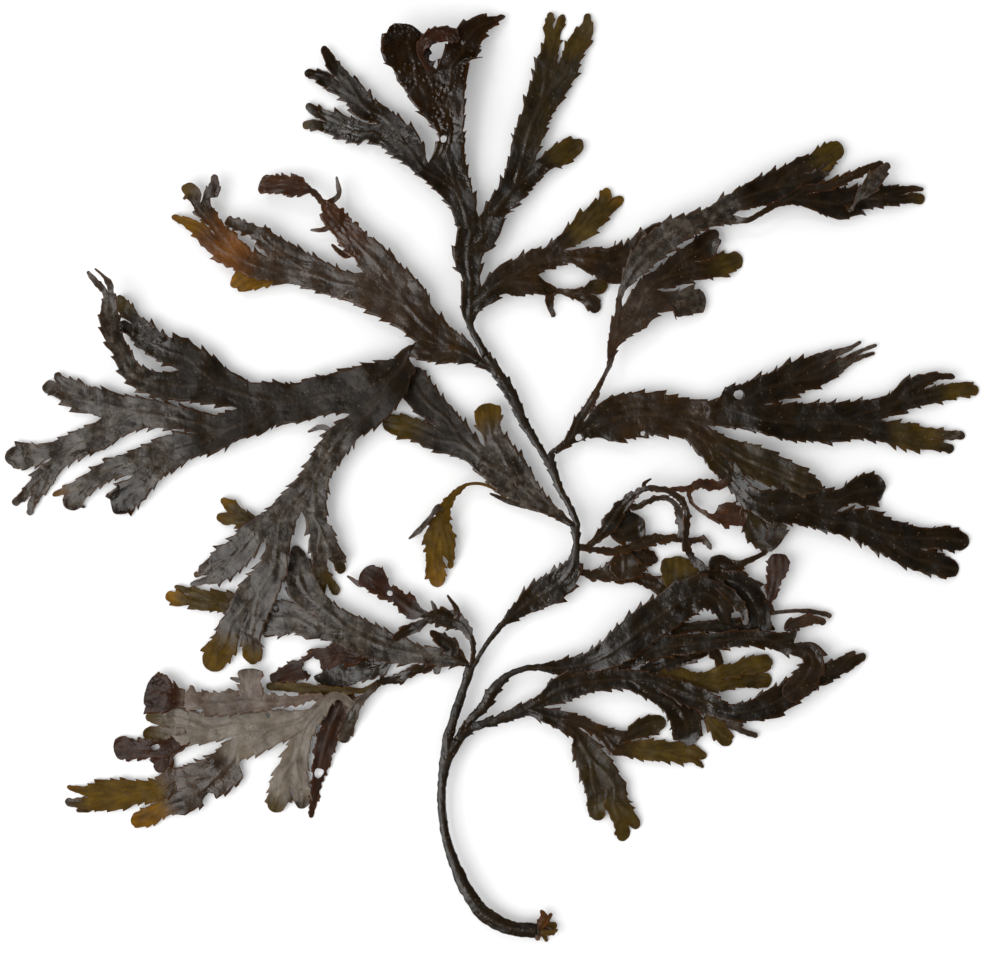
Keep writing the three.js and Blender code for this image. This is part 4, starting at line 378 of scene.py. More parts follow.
        [129, -57.5, 4, 2], [134.2, -58.7, 3, 1.2]]],
    ["middleLow", "middle", "R", "b", [[127, -70.4, 6, 4.7], [128.9, -75, 6, 4.9],
        [126.7, -79.5, 6, 5.2], [122.6, -84.3, 7, 4.6], [117, -88, 8, 3]]],
    ["thicket", "arch", "on", "k", [[94, -41, 5, 4.4], [101.8, -45.1, 5, 6], [106.2, -52, 5, 5.4],
        [107.6, -60, 5, 4.3], [107.5, -66, 4, 2.5]]],
    ["thicketStrap", "thicket", "on", "k", [[91, -43.2, 8, 2.6], [96, -47.8, 8, 2.9],
        [100.3, -53, 7, 2.1], [102, -59.5, 6, 1.2]]],
    ["thicketLink", "thicket", "on", "k", [[91, -35.4, 4, 4.4], [97, -36.2, 4, 3],
        [103, -34, 4, 1.8], [110.6, -30.2, 3.5, 0.9]]],
    ["standing", "thicket", "on", "q", [[109.8, -54.5, 4, 1.2], [111.6, -48.5, 5, 2.2],
        [113.2, -42, 6, 3.4], [114.4, -36, 6, 4.2], [114.8, -31, 6, 3.2]]],
    ["oarTip", "thicket", "on", "g", [[114, -54.7, 4, 0.8], [121, -54, 4, 0.8],
        [129, -54.4, 3, 0.9], [136.6, -56.2, 2, 0.9]]],
    ["thornTip", "thicket", "on", "o", [[110.5, -59.5, 3, 1.8], [113.7, -61.7, 2, 0.7]]],
    ["bridge", "middle", "on", "k", [[89, -70, 5, 2.4], [92.5, -75.5, 4, 1.2]]],
    ["backstay", "middle", "on", "k", [[74, -62.5, 5, 2.6], [82, -60.3, 4, 2.6], [90, -60.2, 4, 3],
        [98, -60, 4, 3.2], [105, -60, 4, 3]]],
    ["lowerStay", "lowMid", "on", "k", [[63, -77.5, 4, 3.4], [71, -75.1, 4, 3.4],
        [79, -72.5, 4, 2.7], [87, -69.9, 4, 2]]],
    ["kneeLow", "knee", "R", "k", [[2, -97.6, 7, 2.5], [9, -95, 7, 3], [16, -92.7, 7, 4],
        [21, -92.3, 7, 6.9]]],
    ["lowMid", "kneeLow", "L", "k", [[27, -85.6, 7, 6], [36, -82.9, 7, 5.2], [46, -81.4, 7, 4.7],
        [56, -81.4, 7, 4.9], [65.3, -84.4, 7, 6]]],
    ["lowDrop", "lowMid", "R", "k", [[73.5, -91.5, 6, 5.9], [77.8, -98, 5, 5.8],
        [78.8, -103.5, 3, 4.9], [78.8, -108.1, 2, 2.1]]],
    ["lowEast", "lowMid", "L", "k", [[76, -86, 7, 5], [86, -90.3, 7, 5], [95, -94.3, 7, 4],
        [103, -93.8, 7, 4.8], [110, -91.8, 7, 6], [116.5, -88.7, 6, 5.7], [122.5, -84.5, 6, 5.4],
        [128, -81, 5, 5], [134, -79, 5, 4.6], [140.5, -75.5, 4, 4.1]]],
    ["lowEastA", "lowEast", "L", "d", [[144, -71.6, 3, 1.4], [146, -70.2, 3, 0.8]]],
    ["lowEastB", "lowEast", "R", "d", [[145, -74.2, 3, 2.5], [150.3, -71.8, 2, 1.5]]],
    ["pair", "lowMid", "on", "o", [[72, -79.4, 4, 3.8], [82, -82, 4, 4.1], [92, -81.6, 4, 5.6]]],
    ["pairA", "pair", "L", "o", [[99, -77.3, 3, 3.4], [106, -75.4, 3, 3.5], [113, -74.3, 2, 2.1]]],
    ["pairB", "pair", "R", "o", [[100, -82.4, 3, 3], [106, -81.7, 2, 3.3], [112.6, -81.8, 1, 2.3]]],
    ["lowLeaf", "lowEast", "on", "o", [[87.5, -97, 4, 2.6], [91.5, -102, 3, 3.5],
        [95.8, -108, 1, 1.8]]],
    ["lowStrandA", "lowEast", "on", "g", [[92, -97.2, 4, 1.4], [98.5, -101.3, 3, 1.5],
        [107, -104.4, 2, 0.9]]],
    ["lowStrandB", "lowEast", "on", "g", [[96.5, -98, 5, 1.2], [101, -100, 4, 0.9]]],
    ["lowTip", "kneeLow", "R", "b", [[26, -96.7, 7, 4.4], [30.5, -98.4, 7, 4.9],
        [34.7, -100.3, 6, 5.4]]],
    ["finger", "lowTip", "L", "b", [[41, -100.7, 5, 3.1], [46, -103.7, 4, 3.9],
        [51.5, -107, 4, 6.3]]],
    ["fingerHigh", "finger", "L", "d", [[58, -102, 3, 3.7], [64, -100, 2, 3.8],
        [70, -98.2, 1, 2.3]]],
    ["fingerLow", "finger", "R", "o", [[60, -109.7, 3, 4.5], [69, -110.2, 3, 4.8],
        [78, -111, 2, 4.6]]],
    ["fingerLowA", "fingerLow", "L", "o", [[82.3, -110.8, 2, 2.4], [86.4, -112.8, 1, 1.3]]],
    ["fingerLowB", "fingerLow", "R", "o", [[82.3, -114.5, 2, 1.5], [85.2, -117, 1, 0.7]]],
    ["south", "lowTip", "R", "d", [[36.3, -107, 5, 5.2], [39.7, -113, 4, 6.7], [43, -119, 4, 8],
        [45.8, -125.5, 4, 8.7]]],
    ["southEast", "south", "L", "o", [[50.5, -131.5, 3, 5.4], [53.7, -137, 3, 5.2]]],
    ["southEastA", "southEast", "L", "o", [[57.3, -138.7, 2, 2.4], [58.3, -141.7, 1, 1.4]]],
    ["southEastB", "southEast", "R", "o", [[52.7, -141.5, 2, 3.3], [53, -146.5, 1, 2]]],
    ["southWest", "south", "R", "o", [[42, -131.5, 3, 3.6], [43.7, -138, 2, 2.5]]],
    # ---- lower left thicket
    ["west", "stemUp", "L", "g", [[-13.5, -73, 7, 4], [-20, -72, 7, 4.4], [-27, -71.5, 7, 4],
        [-35, -70, 6, 5.7], [-44, -67.6, 6, 7], [-53, -63.5, 6, 7.3], [-62, -59.5, 6, 7.6],
        [-69, -56.5, 6, 9.6]]],
    ["westUp", "west", "R", "g", [[-74, -46.6, 4, 7], [-76.5, -40, 3, 5.6], [-77, -34, 2, 3.8],
        [-79, -28, 2, 1.2]]],
    ["westOut", "west", "L", "g", [[-78, -57, 4, 6.4], [-86, -56.8, 3, 6.6], [-94, -57.4, 2, 5]]],
    ["westLobe", "west", "on", "k", [[-15.7, -68.6, 8, 3.6], [-19.6, -65.6, 8, 3.4],
        [-24.3, -61.8, 8, 0.9]]],
    ["westStrap", "west", "on", "k", [[-25, -75.8, 5, 2.6], [-32, -78.3, 5, 2.3],
        [-38, -81.3, 4, 2.4], [-45, -82.5, 4, 1.8]]],
    ["westStub", "west", "on", "k", [[-20.8, -75, 5, 1.6], [-22.3, -79.3, 4, 1.5]]],
    ["westDark", "west", "on", "k", [[-43, -75.5, 4, 3.6], [-52, -78, 3, 5], [-62, -79, 2, 5.2],
        [-71, -80.5, 2, 2.6]]],
    ["wisp", "stemUp", "on", "k", [[-7, -71, 7, 0.9], [-7.6, -65.5, 7, 1.5], [-11.7, -59.4, 7, 3.7],
        [-18.6, -56.5, 7, 4.2], [-25.5, -56.3, 7, 3.1]]],
    ["wispOut", "wisp", "R", "q", [[-31, -53.6, 7, 4.3], [-36, -49.7, 7, 3.7], [-42, -45.7, 6, 3.4],
        [-47, -41.4, 6, 4.9], [-51.7, -38.3, 5, 3.6]]],
    ["wispLow", "wisp", "L", "k", [[-30, -60.2, 7, 2.5], [-34.5, -62.3, 7, 2.2],
        [-39, -65.5, 7, 1.5]]],
    ["wispHook", "wispOut", "on", "r", [[-51, -43, 5, 1.4], [-57.7, -40, 4, 0.4]]],
    ["wispSpikeA", "wisp", "on", "k", [[-13.4, -55, 8, 1.2], [-17.4, -47.4, 9, 0.4]]],
    ["wispSpikeB", "wisp", "on", "k", [[-22.3, -53, 8, 1], [-23.9, -49.7, 8, 0.4]]],
    ["loopBlade", "west", "on", "q", [[-52, -71.8, 4, 3.3], [-60, -71.5, 3, 4.8],
        [-67, -73, 3, 5.2], [-74, -76.6, 3, 5], [-81, -79, 2, 3.6], [-88.5, -82, 1, 1.6]]],
    ["fibre", "westStrap", "on", "o", [[-50, -85.6, 4, 1.4], [-60, -85.7, 4, 2.2],
        [-70, -85.3, 4, 2.5], [-80, -84.7, 3, 2.3], [-90, -84.2, 2, 1.5]]],
    ["paleStrap", "westStrap", "on", "g", [[-49.5, -87.3, 5, 1.6], [-54, -92, 5, 2.7],
        [-56.7, -99, 4, 2.9], [-59.5, -107, 2, 2.2]]],
    ["brownTail", "paleStrap", "on", "q", [[-58, -89, 3, 3.4], [-62.7, -97, 3, 4.5],
        [-65.9, -106, 3, 4.7], [-68.2, -115, 2, 4.1], [-69.9, -124, 2, 2.9], [-71.5, -132, 1, 2.1],
        [-72.3, -137.2, 1, 0.9]]],
    ["greyTail", "paleStrap", "on", "p", [[-62, -88, 5, 2.6], [-69, -94, 5, 3.8],
        [-75, -102, 4, 4.8], [-77.3, -110, 4, 5.2], [-79.6, -118, 3, 6.8], [-80.5, -124, 3, 8.9]]],
    ["greyTailA", "greyTail", "L", "g", [[-75.7, -128.8, 2, 3.7], [-75.7, -133.5, 1, 2.2]]],
    ["greyTailB", "greyTail", "R", "o", [[-85.2, -129, 2, 4.1], [-87.8, -134.6, 1, 2.4]]],
    ["pale", "greyTail", "on", "p", [[-70, -95, 3, 3], [-77, -98, 4, 5], [-86, -100.3, 4, 7.3],
        [-94.6, -102.7, 4, 9.2], [-102.7, -104.3, 4, 10.9]]],
    ["paleWest", "pale", "R", "p", [[-112, -101.4, 3, 6], [-120, -101, 3, 7.4],
        [-127, -100.5, 2, 8.2]]],
    ["paleWestA", "paleWest", "R", "o", [[-132.3, -97, 2, 3], [-138.6, -96.6, 1, 1.6]]],
    ["paleWestB", "paleWest", "L", "o", [[-133.3, -103.5, 2, 3.2], [-139.6, -103, 1, 2]]],
    ["rustPaw", "paleWest", "on", "q", [[-123, -105, 3, 3.6], [-130, -108.7, 3, 4.2],
        [-137, -109.3, 3, 4], [-144, -109, 2, 4.1], [-151.4, -109.6, 1, 3.9]]],
    ["rustPawLow", "rustPaw", "on", "q", [[-131.5, -113.2, 2, 4], [-134, -118.6, 1, 2.8]]],
    ["paleSouth", "pale", "L", "w", [[-102.9, -112.8, 4, 7.8], [-108.5, -118.8, 4, 8.4],
        [-117, -123.3, 3, 9.3], [-125, -126.1, 3, 9.8]]],
    ["paleSouthA", "paleSouth", "L", "a", [[-131.5, -133, 2, 4], [-137.5, -136.6, 2, 3.6],
        [-144.5, -138.7, 1, 2.3]]],
    ["paleSouthB", "paleSouth", "R", "e", [[-133, -125.6, 3, 5.3], [-140, -126.6, 3, 5.1],
        [-148, -127.5, 3, 6.6], [-156, -128.2, 2, 6.6], [-161, -128.9, 2, 5.7]]],
    ["paleSouthBL", "paleSouthB", "L", "g", [[-165.5, -131, 1, 2.4], [-171, -130.6, 1, 1.5]]],
    ["paleSouthBR", "paleSouthB", "R", "a", [[-165, -126, 2, 2], [-170.2, -124.6, 1, 0.6]]],
    ["paleSouthC", "paleSouthB", "on", "o", [[-160.5, -132.8, 1, 1.8], [-166.5, -134.3, 1, 0.7]]],
    ["tee", "brownTail", "on", "t", [[-69, -88.5, 5, 2], [-78, -89.5, 6, 2.5], [-88, -90.1, 6, 3.6],
        [-97, -89.8, 6, 5.2], [-107, -90.9, 6, 5.3], [-116, -90.5, 5, 3.5], [-123, -88.6, 5, 4]]],
    ["teeLobe", "tee", "on", "t", [[-96, -85, 6, 4.8], [-96, -81, 6, 4], [-96, -77, 6, 5.4]]],
    ["teeSpur", "teeLobe", "on", "b", [[-100, -81.8, 5, 1.3], [-104.5, -80.8, 4, 0.4]]],
    ["teePaw", "tee", "on", "q", [[-122.5, -89, 7, 4], [-128.5, -88, 7, 6], [-134, -86.6, 6, 6.8],
        [-138, -85.4, 5, 5.4]]],
    # ---- holdfast claws
    ["clawA", "stem", "on", "x", [[20.5, -177.5, 5, 1.5], [21.3, -174, 6, 0.5]]],
    ["clawB", "stem", "on", "x", [[22, -178.5, 4, 1.6], [24.4, -175.2, 3, 0.6]]],
    ["clawC", "stem", "on", "e", [[22.5, -180.3, 4, 1.5], [26.4, -180, 2, 1.2]]],
    ["clawD", "stem", "on", "m", [[22.5, -181.8, 5, 1.5], [25.6, -183, 6, 0.9]]],
    ["clawE", "stem", "on", "e", [[21, -183.3, 3, 1.5], [22.3, -186.7, 1, 0.6]]],
    ["clawF", "stem", "on", "x", [[18.7, -184, 4, 1.5], [18.4, -186, 2, 0.8]]],
    ["clawG", "stem", "on", "x", [[21.5, -176.2, 6, 1.6], [19.8, -173.4, 7, 0.6]]],
    ["clawH", "stem", "on", "e", [[23, -182.5, 6, 1.2], [26.6, -181.3, 7, 0.6]]],
]

print(len(BLADES), "blades,", sum(len(row[4]) for row in BLADES), "stations")

# %% [markdown]
# ## A smooth course through the stations
#
# A blade bends evenly from one station to the next. A cubic curve through the stations
# gives that for everything at once: the place, the width and the roll. It could be a
# Bezier curve object with a bevel, but such a tube has one cross-section everywhere,
# and a blade changes from a round stem to a flat leaf.

# %% Course
class Course:
    """A smooth curve through stations of x, y, height, half width and roll."""

    def __init__(self, stations):
        self.stations = [list(station) + [0] * (5 - len(station)) for station in stations]
        self.reach = [0.0]
        for a, b in zip(self.stations, self.stations[1:]):
            self.reach.append(self.reach[-1] + math.dist(a[:3], b[:3]))
        self.length = self.reach[-1]
        self.slopes = [[self.slope(i, k) for k in range(5)] for i in range(len(self.stations))]

    def rise(self, i, k):
        """How steeply the k-th number climbs from station i to the next."""
        gap = self.reach[i + 1] - self.reach[i]
        return (self.stations[i + 1][k] - self.stations[i][k]) / gap

    def slope(self, i, k):
        """How steeply the curve of the k-th number passes through station i."""
        last = len(self.stations) - 1
        if i == 0:
            return self.rise(0, k)
        if i == last:
            return self.rise(last - 1, k)
        before = self.reach[i] - self.reach[i - 1]
        after = self.reach[i + 1] - self.reach[i]
        return (self.rise(i - 1, k) * after + self.rise(i, k) * before) / (before + after)

    def at(self, u):
        """The five numbers at the distance u from the base."""
        i = 0
        while i < len(self.reach) - 2 and u > self.reach[i + 1]:
            i += 1
        gap = self.reach[i + 1] - self.reach[i]
        t = min(1.0, max(0.0, (u - self.reach[i]) / gap))
        start, end = self.stations[i], self.stations[i + 1]
        leave, arrive = self.slopes[i], self.slopes[i + 1]
        t2, t3 = t * t, t * t * t
        return [
            (2 * t3 - 3 * t2 + 1) * start[k]
            + (t3 - 2 * t2 + t) * leave[k] * gap
            + (3 * t2 - 2 * t3) * end[k]
            + (t3 - t2) * arrive[k] * gap
            for k in range(5)
        ]


def smooth(t):
    """From 0 to 1 with a soft start and a soft end."""
    t = min(1.0, max(0.0, t))
    return t * t * (3 - 2 * t)


def mixed(a, b, share):
    """From a at share 0 to b at share 1."""
    return a + (b - a) * share


print("the bare stem is", round(Course(BLADES[0][4]).length), "mm long")

# %% [markdown]
# ## The tones of a dried frond
#
# A frond dries nearly black where it is thick, silver-grey where salt and slime have
# dried to a bloom, and stays olive to amber where it is thin, at the tips. The grey film
# that stands for the bloom also carries painted sheen, the gloss of the light painted on
# as grey. Each blade has one of these tones, and takes it up slowly from the blade that
# it grows from, so no line shows where two blades meet. A short spur takes it up faster.

# %% Tones
def linear(hex_code):
    """An sRGB hex colour as the linear values that Blender works with."""
    channels = [int(hex_code[i : i + 2], 16) / 255 for i in (1, 3, 5)]
    return [c / 12.92 if c <= 0.04045 else ((c + 0.055) / 1.055) ** 2.4 for c in channels]


# The colour of the bare skin, how much dried film and painted grey sheen lies on it, and how matt
# it is.
TONES = {
    "k": (*linear("#1f160a"), 0.0, 0.0),  # near-black brown
    "n": (*linear("#21180d"), 0.0, 0.9),  # near-black brown, dull
    "b": (*linear("#2b1d0d"), 0.0, 0.1),  # dark brown
    "d": (*linear("#2b200a"), 0.0, 0.5),  # dark olive-brown
    # In w, g, p and t the grey film is partly dried bloom and partly painted sheen; so is the
    # lighter skin of p.
    "w": (*linear("#35271b"), 0.25, 0.1),  # warm grey-brown
    "g": (*linear("#2a2118"), 0.45, 0.2),  # brown under silver-grey film
    "p": (*linear("#5b5043"), 0.8, 0.3),  # brown under pale film
    "t": (*linear("#4f3f35"), 0.6, 0.4),  # pinkish brown
    "o": (*linear("#3e2f06"), 0.0, 1.1),  # olive
    "a": (*linear("#644405"), 0.0, 1.3),  # amber
    "e": (*linear("#4d3806"), 0.0, 1.4),  # dark amber
    "x": (*linear("#5c3405"), 0.0, 0.7),  # orange rust
    "r": (*linear("#3a2110"), 0.0, 0.2),  # rust
    "q": (*linear("#2f190c"), 0.0, 0.9),  # rust, dull and crumpled
    "m": (*linear("#2f180a"), 0.0, 0.6),  # maroon
    "c": (*linear("#221406"), 0.0, 0.0),  # chestnut
}
TONE_TAKES = 11  # length over which an arm of a fork takes up its own tone
SPUR_TONE_TAKES = 4  # and a blade that grows on another

print(len(TONES), "tones")

# %% [markdown]
# ## The saw teeth
#
# The margins of this wrack are cut like a saw: each tooth rises slowly towards the tip
# and falls sharply behind it. The teeth are uneven, some strong and some hardly there,
# so each margin of each blade gets a list of its own. A small repeating displacement
# would be quicker, but it shows as a pattern.

# %% A blade and its teeth
TOOTH_PITCH = 5.2  # one tooth to the next along a margin, where they stand evenly
TOOTH_GAPS = (0.45, 1.5)  # the closest and the widest gap, as parts of the pitch
TOOTH_STRENGTHS = (0.3, 1.0)  # the weakest and the strongest tooth
TOOTH_CURVE = 1.9  # over 1, so that a tooth is hollow before its tip
FULL_TURN = 6.28  # radians


class Blade:
    """One blade of the armature: its course, its teeth and its tone."""

    def __init__(self, row, dice):
        self.name, self.parent, self.how, self.tone, self.stations = row
        self.phase = dice.random() * FULL_TURN
        self.teeth_dice = random.Random(self.name)
        self.age = 0.0
        self.birth = None
        self.start_tone = TONES[self.tone]

    def follow(self, stations):
        """Lays the blade along its stations, and sets out its teeth."""
        self.course = Course(stations)
        self.length = self.course.length
        self.teeth = [self.toothed_margin(), self.toothed_margin()]

    def toothed_margin(self):
        """Where the teeth of one margin stand, each with its strength."""
        teeth = [(0.0, 0.0)]
        while teeth[-1][0] < self.length:
            gap = TOOTH_PITCH * self.teeth_dice.uniform(*TOOTH_GAPS)
            strength = self.teeth_dice.uniform(*TOOTH_STRENGTHS) * min(1.0, gap / TOOTH_PITCH)
            teeth.append((teeth[-1][0] + gap, strength))
        return teeth

    def tooth(self, side, u):
        """How far the tooth at u has risen towards its tip, from 0 to its strength."""
        teeth = self.teeth[side]
        i = 1
        while i < len(teeth) - 1 and u > teeth[i][0]:
            i += 1
        (root, _), (tip, strength) = teeth[i - 1], teeth[i]
        return strength * max(0.0, (u - root) / (tip - root)) ** TOOTH_CURVE

    def tone_at(self, u):
        """The blade's tone at u, on its way from its parent's to its own."""
        share = smooth(u / (TONE_TAKES if self.how != "on" else SPUR_TONE_TAKES))
        return [mixed(a, b, share) for a, b in zip(self.start_tone, TONES[self.tone])]


print("a tooth about every", TOOTH_PITCH, "mm")

# %% [markdown]
# ## The frame of a cross-section
#
# At each place along a blade there is a frame: its middle, a side that points to the
# left margin, and an upward face. A cross-section is laid out in that frame. It is
# thick along the midrib and thin at the margins, and on a bare stem the same section
# closes up to an oval. Towards a fork the midrib parts into two, and the points across
# the blade drift so that each arm gets half of them.

# %% Frames of the cross-sections
UP = Vector((0, 0, 1))
ACROSS = 20  # faces across a blade, an even number so that a fork can share them
NARROWEST = 0.25  # half width of the thinnest thread
TOOTHED_FROM = 1.6  # half width of the narrowest blade with teeth
TOOTH_ROOT = 0.8  # how far a tooth's root lies inside the blade's full width
RIB_STEM = 2.3  # thickness of the midrib at the holdfast
RIB_BLADE = 0.6  # and out in the blades
RIB_FADE = 130  # path length over which the midrib thins
LAMINA = 0.4  # thickness of the thin blade beside the midrib
ROUND_STEM = 2.3  # half width up to which a stem is an oval
LEAF_STEM = 1.8  # and how much wider it is once it is a leaf
RIBBON = 5.5  # half width under which a blade twists as it dries
TWIST = 34  # degrees that such a ribbon turns to and fro
TWIST_LENGTH = 15  # from one turn to the next
BLUNT = 0.3  # how much a blunt tip is wider than the arm it ends
BLUNT_LENGTH = 20  # length over which it widens
JOIN = 1.6  # widths over which an arm leaves the row of its fork
STEM_PARTS = ("stem", "stemUp", "wing", "axis", "trunk", "neck", "knee")
SMOOTH_PARTS = ("stem", "claw")

# Where a fork's notch lies, as a part of the width from the left margin: half way if
# the two arms are alike.
NOTCH = {
    "crown": 0.3,
    "spire": 0.62,
    "eastArm": 0.57,
    "rustArm": 0.3,
    "leftFan": 0.35,
    "reach": 0.35,
    "climb": 0.16,
    "climbNorth": 0.68,
    "northLow": 0.42,
    "climbEast": 0.45,
    "stalk": 0.38,
}


class Row:
    """The frame and the measures of one cross-section of a blade."""

    def __init__(self, blade, u):
        self.blade, self.u = blade, u
        self.stem_part = blade.name.startswith(STEM_PARTS)
        x, y, z, width, roll = blade.course.at(u)
        self.middle = Vector((x, y, z))
        self.turn(width, roll)
        self.width = max(NARROWEST, width)
        to_tip = math.inf if blade.forked else blade.length - u
        self.measure(to_tip)
        self.part_for_fork()

    def turn(self, width, roll):
        """Points the frame along the blade, rolled and twisted, in line with its fork."""
        blade, u = self.blade, self.u
        ahead = Vector(blade.course.at(min(u + 0.4, blade.length))[:3])
        self.along = (ahead - Vector(blade.course.at(max(u - 0.4, 0))[:3])).normalized()
        side = UP.cross(self.along).normalized()
        face = self.along.cross(side).normalized()
        slack = smooth((RIBBON - width) / 3) * (not self.stem_part)
        sway = 2 * noise.noise(Vector((u / TWIST_LENGTH, blade.phase * 3, 7)))
        roll += TWIST * slack * smooth(u / 8) * sway
        self.left = side * math.cos(math.radians(roll)) + face * math.sin(math.radians(roll))
        if blade.birth:
            grown = smooth(u / (JOIN * blade.birth["width"]))
            self.left = self.left.lerp(blade.birth["side"], 1 - grown).normalized()
        self.up = self.along.cross(self.left).normalized()

    def measure(self, to_tip):
        """The midrib, how round the stem is, the blunt round tip and the teeth."""
        blade, u = self.blade, self.u
        rib = mixed(RIB_BLADE, RIB_STEM, math.exp(-(blade.age + u) / RIB_FADE))
        self.rib = rib * mixed(0.6, 1, smooth(to_tip / 25))
        self.stem = 0.0
        if self.stem_part:
            self.stem = 1 - smooth((self.width - ROUND_STEM) / LEAF_STEM)
        else:
            self.rib *= mixed(0.65, 1, smooth((self.width - 2) / 5))
        self.rib = min(self.rib, 1.3 * self.width)
        ends_blunt = blade.stations[-1][3] >= 1
        if ends_blunt:
            self.width *= 1 + BLUNT * (1 - smooth(to_tip / BLUNT_LENGTH))
        rounding = min(1.1 * self.width, 3.0)
        if to_tip < rounding:
            self.width *= max(0.12, math.sqrt(1 - (1 - to_tip / rounding) ** 2))
        toothed = smooth((self.width - TOOTHED_FROM + 0.6) / 1.2) * smooth(u / 3)
        self.toothed = toothed * smooth(to_tip / 3) * (not blade.name.startswith(SMOOTH_PARTS))
        self.half = self.width - TOOTH_ROOT * self.toothed

    def part_for_fork(self):
        """How far the two halves have parted, and where between them the notch comes."""
        blade = self.blade
        self.forking = 0.0
        if blade.forked:
            reach = min(2.4 * self.width, 0.8 * blade.length)
            self.forking = smooth(1 - (blade.length - self.u) / reach)
        self.split = NOTCH.get(blade.name, 0.5)

    def share(self, j):
        """Where the j-th point across lies, from 0 at the left margin to 1."""
        even = j / ACROSS
        if even <= 0.5:
            forked = self.split * 2 * even
        else:
            forked = self.split + (1 - self.split) * (2 * even - 1)
        return mixed(even, forked, self.forking)

    def ribs(self):
        """The midribs' places across: one, or two that part below a fork."""
        if self.forking == 0:
            return [0.5]
        left = mixed(0.5, self.split / 2, self.forking)
        right = mixed(0.5, (1 + self.split) / 2, self.forking)
        return [left, right]

    def beside_rib(self, t):
        """How far t lies from the nearest midrib, to its left or, below 0, to its right."""
        return min((rib - t for rib in self.ribs()), key=abs) * 2 * self.half

    def thickness(self, t):
        """A thin leaf with a ridge over the rib, or an oval where the blade is a stem."""
        s = 1 - 2 * t
        spread = 0.5 + 0.45 * self.rib
        ridge = math.exp(-((self.beside_rib(t) / spread) ** 2))
        leaf = LAMINA + (self.rib - LAMINA) * ridge
        oval = 0.3 + (self.rib + 0.3) * math.sqrt(max(0.0, 1 - s * s))
        return mixed(leaf, oval, self.stem)


print("from", RIB_STEM, "mm thick in the stem to", LAMINA, "mm in the blade")

# %% [markdown]
# ## The dried surface of a blade
#
# Drying pulls a blade out of its plane. The margins lift and wave, fine crimps gather
# between the waves, folds run lengthwise beside the midrib, and the whole skin wanders
# up and down a little. The outermost points also carry the teeth, which lean forward as
# on a saw, and on torn scraps and old strands the margin is nibbled away. A sculptor
# would brush all this on. Here smooth noise does it, which gives the same each time.

# %% Points across a row
CUP = 0.045  # margins lifted above the midrib, as a part of half width
RUFFLE = 0.045  # waves of the margins, as a part of half width
RUFFLE_LENGTH = 23  # from one wave to the next
CRIMP = 0.09  # shorter waves that drying pulls into the margins
CRIMP_LENGTH = 8.5
FOLD_WIDTH = 4.2  # lengthwise folds beside the midrib, one to the next
FOLD_DEPTHS = (0.02, 0.2)  # how deep they are at least, and how much more they get
WANDERS = ((0.9, 14, 0), (0.28, 4.5, 9))  # depth, length and place of the ups and downs
TOOTH_REACH = 2.6  # how far a strong tooth stands out
TOOTH_HOOK = 1.5  # how far its tip leans forward
RAGGED, RAGGED_TORN = 0.35, 1.1  # how far a margin is nibbled, sound or torn
NIBBLE_LENGTH, TEAR_LENGTH = 1.7, 5
TORN_PARTS = (
    "rustUp", "rustEnd", "rustEndB", "rustFlap", "wisp", "wispOut", "loopBlade",
    "tee", "teeLobe", "teePaw", "rustPaw", "rustPawLow", "brownTail",
    "westStrap", "westDark", "arch", "archInner", "archLink", "thread", "strap",
    "under", "thicket", "standing", "stalk", "bridge",
    "clawA", "clawB", "clawC", "clawD", "clawE", "clawF",
)
REST = 0.45  # height at which the lowest blade touches the table, in the armature


def lift_of(row, sign):
    """How high a margin stands: cupped, ruffled and crimped."""
    blade, u = row.blade, row.u
    wave = math.sin(u / RUFFLE_LENGTH * 2 * math.pi + blade.phase + sign)
    crimp = noise.noise(Vector((u / CRIMP_LENGTH, sign * 3.7, blade.phase * 9)))
    return row.width * (CUP + RUFFLE * wave + CRIMP * crimp) * min(1.0, u / 6)


def folded(row, s):
    """How high a lengthwise fold stands, at s from -1 at the right margin to 1."""
    blade, u = row.blade, row.u
    sideways = s * row.half
    wander = 5 * noise.noise(Vector((u / 17, blade.phase, sideways / 9)))
    folds = math.sin(sideways / FOLD_WIDTH * FULL_TURN + wander)
    uneven = abs(noise.noise(Vector((u / 9, sideways / 12, blade.phase))))
    return folds * (FOLD_DEPTHS[0] + FOLD_DEPTHS[1] * uneven)


def edge_of(row, sign, rim):
    """How far the teeth, nibbles and tears move a point of the rim."""
    blade, u = row.blade, row.u
    tooth = blade.tooth(0 if sign > 0 else 1, u) * row.toothed * min(1.0, row.width / 5.5)
    ragged = RAGGED_TORN if blade.name in TORN_PARTS else RAGGED
    nibble = noise.noise(Vector((u / NIBBLE_LENGTH, sign * 50, blade.phase)))
    tear = noise.noise(Vector((u / TEAR_LENGTH, sign * 20, blade.phase)))
    worn = ragged * nibble * smooth(u / 3)
    torn = ragged * tear * smooth(u / 3)
    outward = row.left * sign * rim * (TOOTH_REACH * tooth + worn + torn)
    return outward, row.along * rim * TOOTH_HOOK * tooth


def point_on(row, t):
    """A point of the blade's middle skin, at share t across."""
    s = 1 - 2 * t
    sign = 1 if s >= 0 else -1
    leafy = (1 - row.stem) * min(1.0, row.width / 3.5)
    height = lift_of(row, sign) * s * s
    height += folded(row, s) * leafy * (1 - s**4) * smooth(row.u / 5)
    point = row.middle + row.left * (s * row.half) + row.up * height
    for depth, length, place in WANDERS:
        wander = noise.noise(point / length + Vector((place, 0, 0)))
        point += row.up * (depth * leafy * wander)
    rim = max(0.0, (abs(s) - 0.75) / 0.25) ** 1.6
    if rim > 0 and row.half > 0.8:
        outward, forward = edge_of(row, sign, rim)
        point += outward
        point += forward
    point.z = max(point.z, REST + row.thickness(t) / 2)
    return point


print(len(TORN_PARTS), "blades with torn margins")

